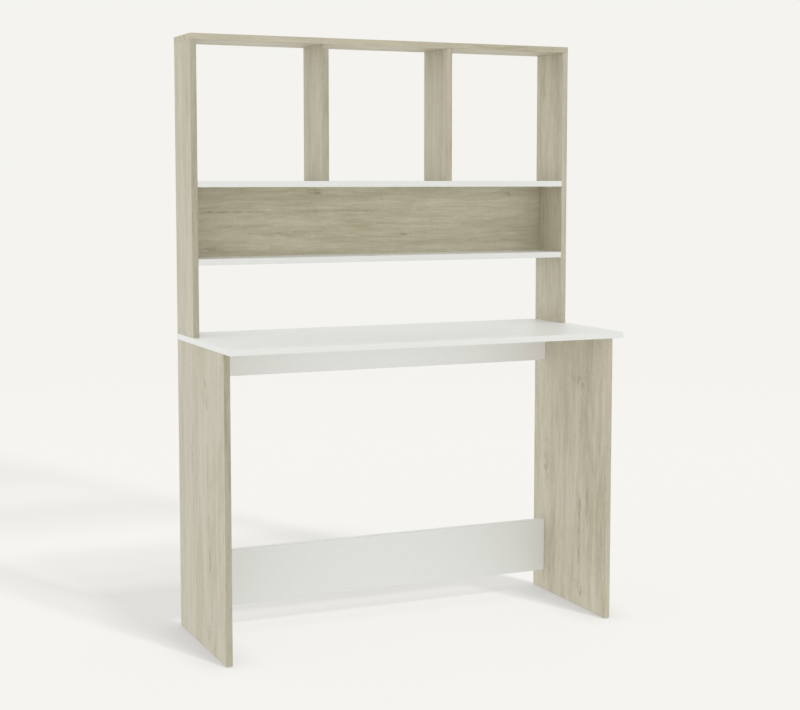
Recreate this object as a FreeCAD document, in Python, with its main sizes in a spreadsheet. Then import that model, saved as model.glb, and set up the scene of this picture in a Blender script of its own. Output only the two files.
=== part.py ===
"""A writing desk with an open hutch, made of faced boards on hidden flat-pack fittings.

Millimetres. +Z is up, the front faces -Y, +X is the sitter's right, and the origin is on the
floor under the middle of the desktop.
"""
import FreeCAD, Part
import os
import re
import Sketcher

SIZES = {
    # Boards and the bands glued on their visible edges
    "board": 15.0,
    "band": 1.0,
    "band_round": 0.8,
    # Desk: width over the legs, height to the working surface
    "desk_width": 1035.0,
    "desk_height": 750.0,
    "desktop_depth": 430.0,
    "desktop_lip": 1.5,
    "leg_depth": 382.0,
    "apron_height": 93.0,
    "stretcher_height": 143.0,
    "stretcher_lift": 56.0,
    "rail_setback": 44.0,
    # Hutch: its depth and the clear heights from the desktop up
    "hutch_depth": 140.0,
    "desk_gap": 176.0,
    "niche_height": 174.0,
    "bay_height": 338.0,
    # Clearance round a fitting, gap at a hole's end, and how far a cut runs past a face
    "fit": 0.1,
    "end_gap": 0.5,
    "overrun": 2.0,
    # Cam nut, its bore, and the wood left behind the bore
    "cam_bore": 15.0,
    "cam_skin": 2.5,
    "cam_inset": 24.0,
    "cam_recess": 0.5,
    "cam_slot_length": 9.0,
    "cam_slot_width": 1.6,
    "cam_slot_depth": 2.4,
    # Cam bolt, from its thread to its head
    "bolt_hole": 5.0,
    "bolt_skin": 4.0,
    "bolt_bore": 8.0,
    "bolt_collar": 7.4,
    "bolt_collar_length": 1.6,
    "bolt_shank": 6.0,
    "bolt_neck": 4.0,
    "bolt_neck_length": 4.0,
    "bolt_head": 7.0,
    "bolt_head_length": 3.0,
    # Wooden dowel
    "dowel_bore": 8.0,
    "dowel_skin": 5.0,
    "dowel_edge_depth": 21.0,
    "dowel_chamfer": 1.0,
    # Confirmat screw with a hexagon socket
    "screw_head": 10.0,
    "screw_head_length": 2.0,
    "screw_taper_length": 1.5,
    "screw_sink": 0.5,
    "screw_hole": 7.0,
    "screw_pilot": 5.0,
    "screw_length": 50.0,
    "screw_tip": 2.4,
    "screw_tip_length": 3.0,
    "socket_width": 4.6,
    "socket_depth": 2.6,
    # Push-in cover caps
    "cam_cap": 17.0,
    "screw_cap": 13.0,
    "cap_rim": 0.4,
    "cap_crown": 0.6,
    "cap_bevel": 1.4,
    # Nail-on floor glide
    "glide_pad": 13.0,
    "glide_foot": 11.0,
    "glide_height": 2.5,
    "glide_bevel": 1.0,
    "nail_hole": 2.0,
    "nail_head": 5.0,
    "nail_head_length": 0.8,
    "nail_sink": 0.6,
    "nail_length": 16.0,
    "nail_point": 0.6,
    "nail_point_length": 2.5,
}

# Where fittings stand, as shares of the board's run that they lie along
HUTCH_LOCK_SHARES = (0.2, 0.8)
HUTCH_SCREW_SHARES = (0.25, 0.75)
MIDDLE_SHARES = (0.5,)
LEG_REAR_LOCK_SHARE = 0.65
LEG_FRONT_LOCK_SHARE = 0.8
LEG_DOWEL_SHARES = (0.15, 0.55)
APRON_DOWEL_SHARES = (0.2, 0.8)
APRON_LOCK_SHARES = (0.2, 0.8)
STRETCHER_LOCK_SHARES = (0.25, 0.75)
BACK_LOCK_SHARES = (0.25, 0.75)
BACK_DOWEL_SHARES = (0.1, 0.9)
GLIDE_SHARES = (0.12, 0.88)

# Heights and depths of the faces that boards meet at, as sums of the sizes above
REAR = "desktop_depth / 2"
FRONT = "-desktop_depth / 2"
LEG_FRONT = "desktop_depth / 2 - leg_depth"
HUTCH_FRONT = "desktop_depth / 2 - hutch_depth"
RAIL_REAR = "desktop_depth / 2 - rail_setback"
RAIL_FRONT = "desktop_depth / 2 - rail_setback - board"
RAIL_MIDDLE = "desktop_depth / 2 - rail_setback - board / 2"
BACK_FRONT = "desktop_depth / 2 - board"
BACK_MIDDLE = "desktop_depth / 2 - board / 2"
LEG_FOOT = "glide_height"
LEG_TOP = "desk_height - board"
APRON_FOOT = "desk_height - board - apron_height"
STRETCHER_FOOT = "stretcher_lift"
STRETCHER_TOP = "stretcher_lift + stretcher_height"
DESK_TOP = "desk_height"
LOWER_FOOT = "desk_height + desk_gap"
LOWER_TOP = "desk_height + desk_gap + board"
UPPER_FOOT = "desk_height + desk_gap + board + niche_height"
UPPER_TOP = "desk_height + desk_gap + 2 * board + niche_height"
HUTCH_FOOT = "desk_height + desk_gap + 2 * board + niche_height + bay_height"
HUTCH_TOP = "desk_height + desk_gap + 3 * board + niche_height + bay_height"
OUTER = "desk_width / 2"
INNER = "(desk_width / 2 - board)"
SIDE_MIDDLE = "(desk_width / 2 - board / 2)"
# Two dividers make three bays of one width between the hutch sides.
BAY_HALF = "((desk_width - 4 * board) / 6)"

LEFT = "-x"
RIGHT = "+x"
FORWARD = "-y"
BACKWARD = "+y"
DOWN = "-z"
UP = "+z"
# For each axis a board can be thin along or drilled along: the origin plane square to it, the
# two axes of a sketch on that plane, and the way the plane's normal points.
PLANES = {
    "x": ("YZ_Plane", "yz", RIGHT),
    "y": ("XZ_Plane", "xz", FORWARD),
    "z": ("XY_Plane", "xy", UP),
}

doc = FreeCAD.newDocument("student_desk")
nodes = []


def cells(text):
    """Points each size named in an expression at its cell of the sheet."""
    return re.sub(r"[a-z]\w*", lambda word: "sizes." + word.group(), text)


def bind(thing, **sizes):
    """Ties properties of an object to expressions written in the names of sizes."""
    for name, text in sizes.items():
        thing.setExpression(name, cells(text))


def place(thing, point):
    """Ties an object's place to three expressions."""
    for axis, text in zip("xyz", point):
        thing.setExpression("Placement.Base." + axis, cells(text))


def opposite(direction):
    """The direction that points the other way."""
    sign, axis = direction
    return ("+" if sign == "-" else "-") + axis


def vector(direction):
    """The unit vector of a direction."""
    sign, axis = direction
    return FreeCAD.Vector(*(float(sign + "1") if name == axis else 0 for name in "xyz"))


def on(point, axis):
    """A point's place along an axis."""
    return point["xyz".index(axis)]


def moved(point, direction, length):
    """A point moved by a length along a direction."""
    sign, axis = direction
    return tuple(
        f"{text} {sign} ({length})" if name == axis else text for name, text in zip("xyz", point)
    )


def spread(start, length, shares):
    """Places at shares of a length from its start."""
    return [f"{start} + ({length}) * {share}" for share in shares]


def make_sheet():
    """The sheet of driving sizes, one named cell each."""
    sheet = doc.addObject("Spreadsheet::Sheet", "sizes")
    for row, (name, value) in enumerate(SIZES.items(), start=1):
        sheet.set(f"A{row}", name)
        sheet.set(f"B{row}", str(value))
        sheet.setAlias(f"B{row}", name)
    doc.recompute()


def sketch_on(body, axis, height, name):
    """A sketch square to an axis of its body, at a height along it."""
    role, _, (sign, _) = PLANES[axis]
    plane = next(item for item in body.Origin.OriginFeatures if item.Role == role)
    sketch = body.newObject("Sketcher::SketchObject", name)
    sketch.AttachmentSupport = (plane, [""])
    sketch.MapMode = "FlatFace"
    sketch.setExpression("AttachmentOffset.Base.z", cells(f"{sign}({height})"))
    return sketch


def hold(sketch, text, *constraint):
    """Adds a dimension to a sketch and ties it to an expression."""
    index = sketch.addConstraint(Sketcher.Constraint(*constraint, 1.0))
    sketch.setExpression(f"Constraints[{index}]", cells(text))


def draw_rectangle(sketch, width, height):
    """A rectangle from the sketch's origin."""
    corners = [(0, 0), (1, 0), (1, 1), (0, 1)]
    for side, corner in enumerate(corners):
        ahead = corners[(side + 1) % len(corners)]
        sketch.addGeometry(Part.LineSegment(FreeCAD.Vector(*corner), FreeCAD.Vector(*ahead)))
    for side in range(len(corners)):
        sketch.addConstraint(Sketcher.Constraint("Coincident", side, 2, (side + 1) % len(corners), 1))
        sketch.addConstraint(Sketcher.Constraint("Vertical" if side % 2 else "Horizontal", side))
    sketch.addConstraint(Sketcher.Constraint("Coincident", 0, 1, -1, 1))
    hold(sketch, width, "DistanceX", 0, 1, 0, 2)
    hold(sketch, height, "DistanceY", 1, 1, 1, 2)


def draw_circle(sketch, across, up, diameter):
    """A circle at a place on the sketch."""
    circle = sketch.addGeometry(Part.Circle(FreeCAD.Vector(1, 1), vector(UP), 1))
    hold(sketch, diameter, "Diameter", circle)
    hold(sketch, across, "DistanceX", -1, 1, circle, 3)
    hold(sketch, up, "DistanceY", -1, 1, circle, 3)


def slab(name, thin, low, high):
    """A body padded through its thin axis, with its low corner at a place."""
    body = doc.addObject("PartDesign::Body", name)
    body.Label = name
    extent = [f"({far}) - ({near})" for near, far in zip(low, high)]
    _, (across, up), (sign, _) = PLANES[thin]
    outline = sketch_on(body, thin, "0", name + "_outline")
    draw_rectangle(outline, on(extent, across), on(extent, up))
    pad = body.newObject("PartDesign::Pad", name + "_pad")
    pad.Profile = outline
    pad.Reversed = sign == "-"
    bind(pad, Length=on(extent, thin))
    place(body, low)
    return body


def round_outer_edges(body, thin, side):
    """Rounds the long edges of a band's outer face."""
    doc.recompute()
    pad = body.Tip
    sign, axis = side
    long_axis = next(name for name in "xyz" if name not in (axis, thin))
    box = pad.Shape.BoundBox
    outer = getattr(box, axis.upper() + ("Max" if sign == "+" else "Min"))
    names = []
    for number, edge in enumerate(pad.Shape.Edges, start=1):
        start, end = (vertex.Point for vertex in edge.Vertexes)
        on_face = max(abs(on(point, axis) - outer) for point in (start, end)) < SIZES["fit"]
        if on_face and abs(on(start, long_axis) - on(end, long_axis)) > SIZES["fit"]:
            names.append(f"Edge{number}")
    fillet = body.newObject("PartDesign::Fillet", body.Name + "_round")
    fillet.Base = (pad, names)
    bind(fillet, Radius="band_round")


class Board:
    """A faced board: its outer box, the sides that carry a band, and the bores drilled in it."""

    def __init__(self, name, thin, low, high, banded=()):
        self.name = name
        self.thin = thin
        self.low = low
        self.high = high
        self.banded = banded
        self.bores = {}

    def bore(self, mouth, into, diameter, depth):
        """Notes a bore by the middle of its mouth, the way it goes in, its width and depth."""
        drilling = (into, on(mouth, into[-1]), diameter, depth)
        self.bores.setdefault(drilling, []).append(mouth)

    def build(self):
        """The board's bands, then the core that is left between them, drilled."""
        low, high = list(self.low), list(self.high)
        strips = []
        for side in self.banded:
            sign, axis = side
            index = "xyz".index(axis)
            strip_low, strip_high = list(low), list(high)
            if sign == "-":
                strip_high[index] = low[index] = f"{low[index]} + band"
            else:
                strip_low[index] = high[index] = f"{high[index]} - band"
            strip = slab(f"{self.name}_strip_{len(strips)}", self.thin, strip_low, strip_high)
            round_outer_edges(strip, self.thin, side)
            strips.append(strip)
        core = slab(self.name, self.thin, low, high)
        for number, (drilling, mouths) in enumerate(self.bores.items()):
            self.drill(core, low, number, drilling, mouths)
        nodes.append(core)
        if strips:
            gather(self.name + "_bands", strips)

    def drill(self, core, low, number, drilling, mouths):
        """One pocket for all bores of a kind that start on one face."""
        into, height, diameter, depth = drilling
        axis = into[-1]
        _, (across, up), normal = PLANES[axis]
        name = f"{self.name}_bores_{number}"
        sketch = sketch_on(core, axis, f"({height}) - ({on(low, axis)})", name)
        for mouth in mouths:
            draw_circle(
                sketch,
                f"({on(mouth, across)}) - ({on(low, across)})",
                f"({on(mouth, up)}) - ({on(low, up)})",
                diameter,
            )
        pocket = core.newObject("PartDesign::Pocket", name + "_pocket")
        pocket.Profile = sketch
        pocket.Reversed = into == normal
        bind(pocket, Length=depth)


def gather(name, pieces):
    """One node of separate solids."""
    group = doc.addObject("Part::Compound", name)
    group.Label = name
    group.Links = pieces
    nodes.append(group)


def turned(name, start, steps):
    """A turned piece: steps of start width, end width and length, end to end along +Z."""
    pieces = []
    height = start
    for number, (wide, end, length) in enumerate(steps):
        if wide == end:
            step = doc.addObject("Part::Cylinder", f"{name}_step_{number}")
            bind(step, Radius=f"({wide}) / 2", Height=length)
        else:
            step = doc.addObject("Part::Cone", f"{name}_step_{number}")
            bind(step, Radius1=f"({wide}) / 2", Radius2=f"({end}) / 2", Height=length)
        place(step, ("0", "0", height))
        height = f"{height} + {length}"
        pieces.append(step)
    if len(pieces) == 1:
        return pieces[0]
    whole = doc.addObject("Part::MultiFuse", name)
    whole.Shapes = pieces
    return whole


def bar(name, length, width, height, foot):
    """A block centred on the Z axis, standing at a foot height."""
    block = doc.addObject("Part::Box", name)
    bind(block, Length=length, Width=width, Height=height)
    place(block, (f"-({length}) / 2", f"-({width}) / 2", foot))
    return block


def carved(name, base, tools):
    """A piece with other pieces cut out of it."""
    cutters = doc.addObject("Part::Compound", name + "_cutters")
    cutters.Links = tools
    whole = doc.addObject("Part::Cut", name)
    whole.Base = base
    whole.Tool = cutters
    return whole


def make_cam_nut():
    """A cam nut on its bore's floor: a drum with a driver's cross and the bolt's way in from +X."""
    height = "(board - cam_skin - cam_recess)"
    drum = turned("cam_drum", "0", [("cam_bore - 2 * fit", "cam_bore - 2 * fit", height)])
    way_in = doc.addObject("Part::Cylinder", "cam_way_in")
    reach = "(bolt_head_length / 2 + fit)"
    bind(way_in, Radius="bolt_head / 2 + fit", Height=f"{reach} + cam_bore / 2 + overrun")
    way_in.Placement = FreeCAD.Placement(FreeCAD.Vector(), FreeCAD.Rotation(vector(UP), vector(RIGHT)))
    place(way_in, (f"-{reach}", "0", "board / 2 - cam_skin"))
    cut_depth = "cam_slot_depth + overrun"
    foot = f"{height} - cam_slot_depth"
    slots = [
        bar("cam_slot_a", "cam_slot_length", "cam_slot_width", cut_depth, foot),
        bar("cam_slot_b", "cam_slot_width", "cam_slot_length", cut_depth, foot),
    ]
    return carved("cam_nut", drum, [way_in] + slots)


def make_cam_bolt():
    """A cam bolt from its joint face: thread below, then collar, shank, neck and head."""
    thread = "bolt_hole - 2 * fit"
    shank_length = "(cam_inset - bolt_head_length / 2 - bolt_neck_length - bolt_collar_length)"
    return turned(
        "cam_bolt",
        "-(board - bolt_skin - end_gap)",
        [
            (thread, thread, "(board - bolt_skin - end_gap)"),
            ("bolt_collar", "bolt_collar", "bolt_collar_length"),
            ("bolt_shank", "bolt_shank", shank_length),
            ("bolt_neck", "bolt_neck", "bolt_neck_length"),
            ("bolt_head", "bolt_head", "bolt_head_length"),
        ],
    )


def make_dowel():
    """A wooden dowel with chamfered ends, across its joint face."""
    wide = "dowel_bore - 2 * fit"
    tip = "dowel_bore - 2 * fit - 2 * dowel_chamfer"
    length = "(board - dowel_skin + dowel_edge_depth - 2 * end_gap - 2 * dowel_chamfer)"
    return turned(
        "dowel",
        "-(board - dowel_skin - end_gap)",
        [(tip, wide, "dowel_chamfer"), (wide, wide, length), (wide, tip, "dowel_chamfer")],
    )


def make_screw():
    """A confirmat screw from the face it is driven through, with its socket."""
    head = "screw_head - 2 * fit"
    shank = "screw_hole - 2 * fit"
    thread = "screw_pilot - 2 * fit"
    head_end = "(screw_sink + screw_head_length + screw_taper_length)"
    whole = turned(
        "screw_turning",
        "screw_sink",
        [
            (head, head, "screw_head_length"),
            (head, shank, "screw_taper_length"),
            (shank, shank, f"(board - {head_end})"),
            (thread, thread, "(screw_length - board - screw_tip_length)"),
            (thread, "screw_tip", "screw_tip_length"),
        ],
    )
    socket = doc.addObject("Part::Prism", "screw_socket")
    bind(socket, Circumradius="socket_width / 2", Height="socket_depth + overrun")
    place(socket, ("0", "0", "screw_sink - overrun"))
    return carved("screw", whole, [socket])


def make_cap(name, wide, plug):
    """A cover cap on a board's face, with a plug down into the fitting below."""
    crown = turned(
        name + "_crown",
        "0",
        [(wide, wide, "cap_rim"), (wide, f"{wide} - 2 * cap_bevel", "cap_crown")],
    )
    whole = doc.addObject("Part::MultiFuse", name)
    whole.Shapes = [crown, plug]
    return whole


def make_cam_cap():
    """A cap whose blade enters a cam nut's slot."""
    depth = "(cam_recess + cam_slot_depth - end_gap)"
    blade_width = "cam_slot_width - 2 * fit"
    blade = bar("cam_cap_blade", "cam_slot_length - 2 * fit", blade_width, depth, f"-{depth}")
    return make_cap("cam_cap", "cam_cap", blade)


def make_screw_cap():
    """A cap whose hexagon plug enters a screw's socket."""
    depth = "(screw_sink + socket_depth - end_gap)"
    plug = doc.addObject("Part::Prism", "screw_cap_plug")
    bind(plug, Circumradius="socket_width / 2 - 2 * fit", Height=depth)
    place(plug, ("0", "0", f"-{depth}"))
    return make_cap("screw_cap", "screw_cap", plug)


def make_glide():
    """A floor glide's pad, stepped through for its nail."""
    pad = turned(
        "glide_turning",
        "0",
        [
            ("glide_foot", "glide_pad", "glide_bevel"),
            ("glide_pad", "glide_pad", "(glide_height - glide_bevel)"),
        ],
    )
    seat_width = "nail_head + 2 * fit"
    seat_depth = "(overrun + nail_sink + nail_head_length)"
    seat = turned("glide_seat", "-overrun", [(seat_width, seat_width, seat_depth)])
    hole = turned("glide_hole", "0", [("nail_hole", "nail_hole", "(glide_height + overrun)")])
    return carved("glide", pad, [seat, hole])


def make_nail():
    """A glide's nail, head down and point up."""
    shank = "nail_hole - 2 * fit"
    return turned(
        "nail",
        "nail_sink",
        [
            ("nail_head", "nail_head", "nail_head_length"),
            (shank, shank, "(nail_length - nail_head_length - nail_point_length)"),
            (shank, "nail_point", "nail_point_length"),
        ],
    )


class Fittings:
    """The fittings of every joint: it drills the boards and sets each piece in its node."""

    def __init__(self):
        self.places = {}
        self.cam_nut = make_cam_nut()
        self.cam_bolt = make_cam_bolt()
        self.dowel = make_dowel()
        self.screw = make_screw()
        self.cam_cap = make_cam_cap()
        self.screw_cap = make_screw_cap()
        self.glide = make_glide()
        self.nail = make_nail()

    def put(self, node, piece, point, toward, across=None):
        """Notes a copy of a piece in a node, with its +Z toward one way and its +X across another."""
        across = across or next(way for way in (RIGHT, UP) if way[-1] != toward[-1])
        self.places.setdefault(node, []).append((piece, point, toward, across))

    def cam_lock(self, joint, edge_board, face_board, point, into, cam_side, capped=False):
        """A bolt standing in one board's face and a cam nut let into the other near its edge."""
        face_board.bore(point, opposite(into), "bolt_hole", "board - bolt_skin")
        edge_board.bore(point, into, "bolt_bore", "cam_inset")
        mouth = moved(moved(point, into, "cam_inset"), cam_side, "board / 2")
        edge_board.bore(mouth, opposite(cam_side), "cam_bore", "board - cam_skin")
        self.put(joint + "_cam_bolts", self.cam_bolt, point, into)
        floor = moved(mouth, opposite(cam_side), "board - cam_skin")
        self.put(joint + "_cam_nuts", self.cam_nut, floor, cam_side, opposite(into))
        if capped:
            self.put(joint + "_cam_caps", self.cam_cap, mouth, cam_side, opposite(into))

    def dowel_pin(self, joint, edge_board, face_board, point, into):
        """A dowel across a joint, deeper in the board that meets it edge on."""
        face_board.bore(point, opposite(into), "dowel_bore", "board - dowel_skin")
        edge_board.bore(point, into, "dowel_bore", "dowel_edge_depth")
        self.put(joint + "_dowels", self.dowel, point, into)

    def screw_down(self, joint, through_board, edge_board, point, into):
        """A screw through one board into another's edge, under a cap."""
        through_board.bore(point, into, "screw_hole", "board + overrun")
        seat_depth = "screw_sink + screw_head_length + screw_taper_length"
        through_board.bore(point, into, "screw_head", seat_depth)
        edge_board.bore(moved(point, into, "board"), into, "screw_pilot", "screw_length - board + end_gap")
        self.put(joint + "_screws", self.screw, point, into)
        self.put(joint + "_screw_caps", self.screw_cap, point, opposite(into))

    def floor_glide(self, leg, x, y):
        """A glide nailed under a leg."""
        leg.bore((x, y, LEG_FOOT), UP, "nail_hole", "nail_sink + nail_length - glide_height + end_gap")
        self.put("floor_glides", self.glide, (x, y, "0"), UP)
        self.put("glide_nails", self.nail, (x, y, "0"), UP)

    def build(self):
        """Each node's copies, turned and placed."""
        for node, copies in self.places.items():
            links = []
            for piece, point, toward, across in copies:
                link = doc.addObject("App::Link", f"{node}_{len(links)}")
                link.setLink(piece)
                turn = FreeCAD.Rotation(vector(across), FreeCAD.Vector(), vector(toward), "ZXY")
                link.Placement = FreeCAD.Placement(FreeCAD.Vector(), turn)
                place(link, point)
                links.append(link)
            gather(node, links)


def flat(name, near, far, foot, top, banded, reach=INNER):
    """A lying board, the same to both sides of the middle."""
    return Board(name, "z", (f"-{reach}", near, foot), (reach, far, top), banded)


def upright(name, inner_x, outer_x, near, foot, top):
    """A standing board with its faces to the sides, banded in front and behind."""
    return Board(name, "x", (inner_x, near, foot), (outer_x, REAR, top), (FORWARD, BACKWARD))


def make_boards():
    """Every board of the desk and the hutch by name."""
    ends = (FORWARD, BACKWARD, LEFT, RIGHT)
    edges = (FORWARD, BACKWARD)
    divider = (BAY_HALF, f"{BAY_HALF} + board")
    mirrored = tuple(f"-({place_x})" for place_x in reversed(divider))
    boards = [
        upright("left_leg_panel", f"-{OUTER}", f"-{INNER}", LEG_FRONT, LEG_FOOT, LEG_TOP),
        upright("right_leg_panel", INNER, OUTER, LEG_FRONT, LEG_FOOT, LEG_TOP),
        flat("desktop_panel", FRONT, REAR, LEG_TOP, DESK_TOP, ends, f"({OUTER} + desktop_lip)"),
        Board(
            "apron_rail",
            "y",
            (f"-{INNER}", RAIL_FRONT, APRON_FOOT),
            (INNER, RAIL_REAR, LEG_TOP),
            (DOWN,),
        ),
        Board(
            "stretcher_rail",
            "y",
            (f"-{INNER}", RAIL_FRONT, STRETCHER_FOOT),
            (INNER, RAIL_REAR, STRETCHER_TOP),
            (DOWN, UP),
        ),
        upright("hutch_left_side", f"-{OUTER}", f"-{INNER}", HUTCH_FRONT, DESK_TOP, HUTCH_FOOT),
        upright("hutch_right_side", INNER, OUTER, HUTCH_FRONT, DESK_TOP, HUTCH_FOOT),
        flat("hutch_top_panel", HUTCH_FRONT, REAR, HUTCH_FOOT, HUTCH_TOP, ends, f"({OUTER})"),
        flat("upper_shelf", HUTCH_FRONT, REAR, UPPER_FOOT, UPPER_TOP, edges),
        flat("lower_shelf", HUTCH_FRONT, REAR, LOWER_FOOT, LOWER_TOP, edges),
        Board("hutch_back_panel", "y", (f"-{INNER}", BACK_FRONT, LOWER_TOP), (INNER, REAR, UPPER_FOOT)),
        upright("left_divider", *mirrored, HUTCH_FRONT, UPPER_TOP, HUTCH_FOOT),
        upright("right_divider", *divider, HUTCH_FRONT, UPPER_TOP, HUTCH_FOOT),
    ]
    return {board.name: board for board in boards}


def join_side(boards, fittings, side, sign):
    """All joints at one end of the desk: leg, rails, hutch side, shelves, back board and hutch top."""
    leg = boards[f"{side}_leg_panel"]
    hutch_side = boards[f"hutch_{side}_side"]
    desktop = boards["desktop_panel"]
    inward = opposite(sign + "x")
    middle = f"{sign}{SIDE_MIDDLE}"
    inner = f"{sign}{INNER}"
    lock_depths = spread(REAR, "-hutch_depth", HUTCH_LOCK_SHARES)
    middle_depths = spread(REAR, "-hutch_depth", MIDDLE_SHARES)
    # Leg to desktop: the rear lock is ahead of the apron and between the hutch's own fittings.
    ahead = "hutch_depth - leg_depth"
    leg_locks = spread(REAR, "-hutch_depth", [LEG_REAR_LOCK_SHARE])
    leg_locks += spread(HUTCH_FRONT, ahead, [LEG_FRONT_LOCK_SHARE])
    for depth in leg_locks:
        fittings.cam_lock("leg", leg, desktop, (middle, depth, LEG_TOP), DOWN, inward, capped=True)
    for depth in spread(HUTCH_FRONT, ahead, LEG_DOWEL_SHARES):
        fittings.dowel_pin("leg", leg, desktop, (middle, depth, LEG_TOP), DOWN)
    for depth in spread(REAR, "-leg_depth", GLIDE_SHARES):
        fittings.floor_glide(leg, middle, depth)
    # Rails to leg, with their cam nuts behind
    for rail, foot, height, locks, dowels in (
        ("apron", APRON_FOOT, "apron_height", MIDDLE_SHARES, APRON_DOWEL_SHARES),
        ("stretcher", STRETCHER_FOOT, "stretcher_height", STRETCHER_LOCK_SHARES, MIDDLE_SHARES),
    ):
        board = boards[rail + "_rail"]
        for level in spread(foot, height, locks):
            fittings.cam_lock(rail, board, leg, (inner, RAIL_MIDDLE, level), inward, BACKWARD)
        for level in spread(foot, height, dowels):
            fittings.dowel_pin(rail, board, leg, (inner, RAIL_MIDDLE, level), inward)
    # Hutch side on the desktop
    for depth in lock_depths:
        point = (middle, depth, DESK_TOP)
        fittings.cam_lock("hutch_foot", hutch_side, desktop, point, UP, inward, capped=True)
    for depth in middle_depths:
        fittings.dowel_pin("hutch_foot", hutch_side, desktop, (middle, depth, DESK_TOP), UP)
    # Shelves to hutch side, with their cam nuts below
    for shelf, foot in (("upper_shelf", UPPER_FOOT), ("lower_shelf", LOWER_FOOT)):
        level = f"{foot} + board / 2"
        for depth in lock_depths:
            point = (inner, depth, level)
            fittings.cam_lock("shelf", boards[shelf], hutch_side, point, inward, DOWN, capped=True)
        for depth in middle_depths:
            fittings.dowel_pin("shelf", boards[shelf], hutch_side, (inner, depth, level), inward)
    # Back board to hutch side, with its cam nuts behind
    for level in spread(LOWER_TOP, "niche_height", BACK_LOCK_SHARES):
        point = (inner, BACK_MIDDLE, level)
        fittings.cam_lock("back_panel", boards["hutch_back_panel"], hutch_side, point, inward, BACKWARD)
    fix_under_top(boards, fittings, hutch_side, middle)


def fix_under_top(boards, fittings, board, middle):
    """The hutch top on a standing board: screws from above and a dowel between them."""
    top = boards["hutch_top_panel"]
    for depth in spread(REAR, "-hutch_depth", HUTCH_SCREW_SHARES):
        fittings.screw_down("hutch_top", top, board, (middle, depth, HUTCH_TOP), DOWN)
    for depth in spread(REAR, "-hutch_depth", MIDDLE_SHARES):
        fittings.dowel_pin("hutch_top", board, top, (middle, depth, HUTCH_FOOT), DOWN)


def join_divider(boards, fittings, side, sign):
    """A divider between the upper shelf and the hutch top."""
    divider = boards[side + "_divider"]
    shelf = boards["upper_shelf"]
    middle = f"{sign}({BAY_HALF} + board / 2)"
    fix_under_top(boards, fittings, divider, middle)
    for depth in spread(REAR, "-hutch_depth", HUTCH_SCREW_SHARES):
        fittings.screw_down("divider", shelf, divider, (middle, depth, UPPER_FOOT), UP)
    for depth in spread(REAR, "-hutch_depth", MIDDLE_SHARES):
        fittings.dowel_pin("divider", divider, shelf, (middle, depth, UPPER_TOP), UP)


def join_long_edges(boards, fittings):
    """Joints along the desk's length: apron to desktop, back board to both shelves."""
    run = f"2 * {INNER}"
    apron, back = boards["apron_rail"], boards["hutch_back_panel"]
    for x in spread(f"-{INNER}", run, APRON_LOCK_SHARES):
        point = (x, RAIL_MIDDLE, LEG_TOP)
        fittings.cam_lock("apron_top", apron, boards["desktop_panel"], point, DOWN, BACKWARD)
    for x in spread(f"-{INNER}", run, MIDDLE_SHARES):
        fittings.dowel_pin("apron_top", apron, boards["desktop_panel"], (x, RAIL_MIDDLE, LEG_TOP), DOWN)
    for x in spread(f"-{INNER}", run, BACK_DOWEL_SHARES):
        fittings.dowel_pin("back_panel", back, boards["lower_shelf"], (x, BACK_MIDDLE, LOWER_TOP), UP)
        fittings.dowel_pin("back_panel", back, boards["upper_shelf"], (x, BACK_MIDDLE, UPPER_FOOT), DOWN)


def check():
    """Stops if an object failed, a cut took nothing away or a node has no sound solid."""
    for thing in doc.Objects:
        if {"Invalid", "Error"} & set(thing.State):
            raise RuntimeError(f"{thing.Name} failed: {thing.State}")
        if thing.TypeId == "PartDesign::Pocket":
            if thing.Shape.Volume >= thing.BaseFeature.Shape.Volume:
                raise RuntimeError(f"{thing.Name} cuts nothing")
    for node in nodes:
        if node.Shape.isNull() or not node.Shape.isValid() or not node.Shape.Solids:
            raise RuntimeError(f"{node.Label} has no sound solid")


make_sheet()
all_boards = make_boards()
all_fittings = Fittings()
for side_name, side_sign in (("left", "-"), ("right", "+")):
    join_side(all_boards, all_fittings, side_name, side_sign)
    join_divider(all_boards, all_fittings, side_name, side_sign)
join_long_edges(all_boards, all_fittings)
for each_board in all_boards.values():
    each_board.build()
all_fittings.build()
doc.recompute()
check()
os.makedirs("parts", exist_ok=True)
for each_node in nodes:
    each_node.Shape.exportStep(f"parts/{each_node.Label}.step")
    print(f"{each_node.Label}: {len(each_node.Shape.Solids)} solids, {each_node.Shape.Volume:.0f} mm3")
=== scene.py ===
"""Dresses a student's desk with an open hutch: oak-look and white boards on flat-pack fittings.

Metres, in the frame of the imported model: +Z is up, the front faces -Y and +X is the sitter's right.
A fitting's own sizes are in millimetres.
"""
import logging
import math
from dataclasses import dataclass, fields
from enum import Enum
from functools import cached_property
from typing import Callable, ClassVar, Mapping, Optional, Sequence, Union

import bmesh
import bpy
from bpy.types import Collection, Material, Mesh, Node, NodeSocket, NodeTree, Object
from mathutils import Color, Matrix, Vector


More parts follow.
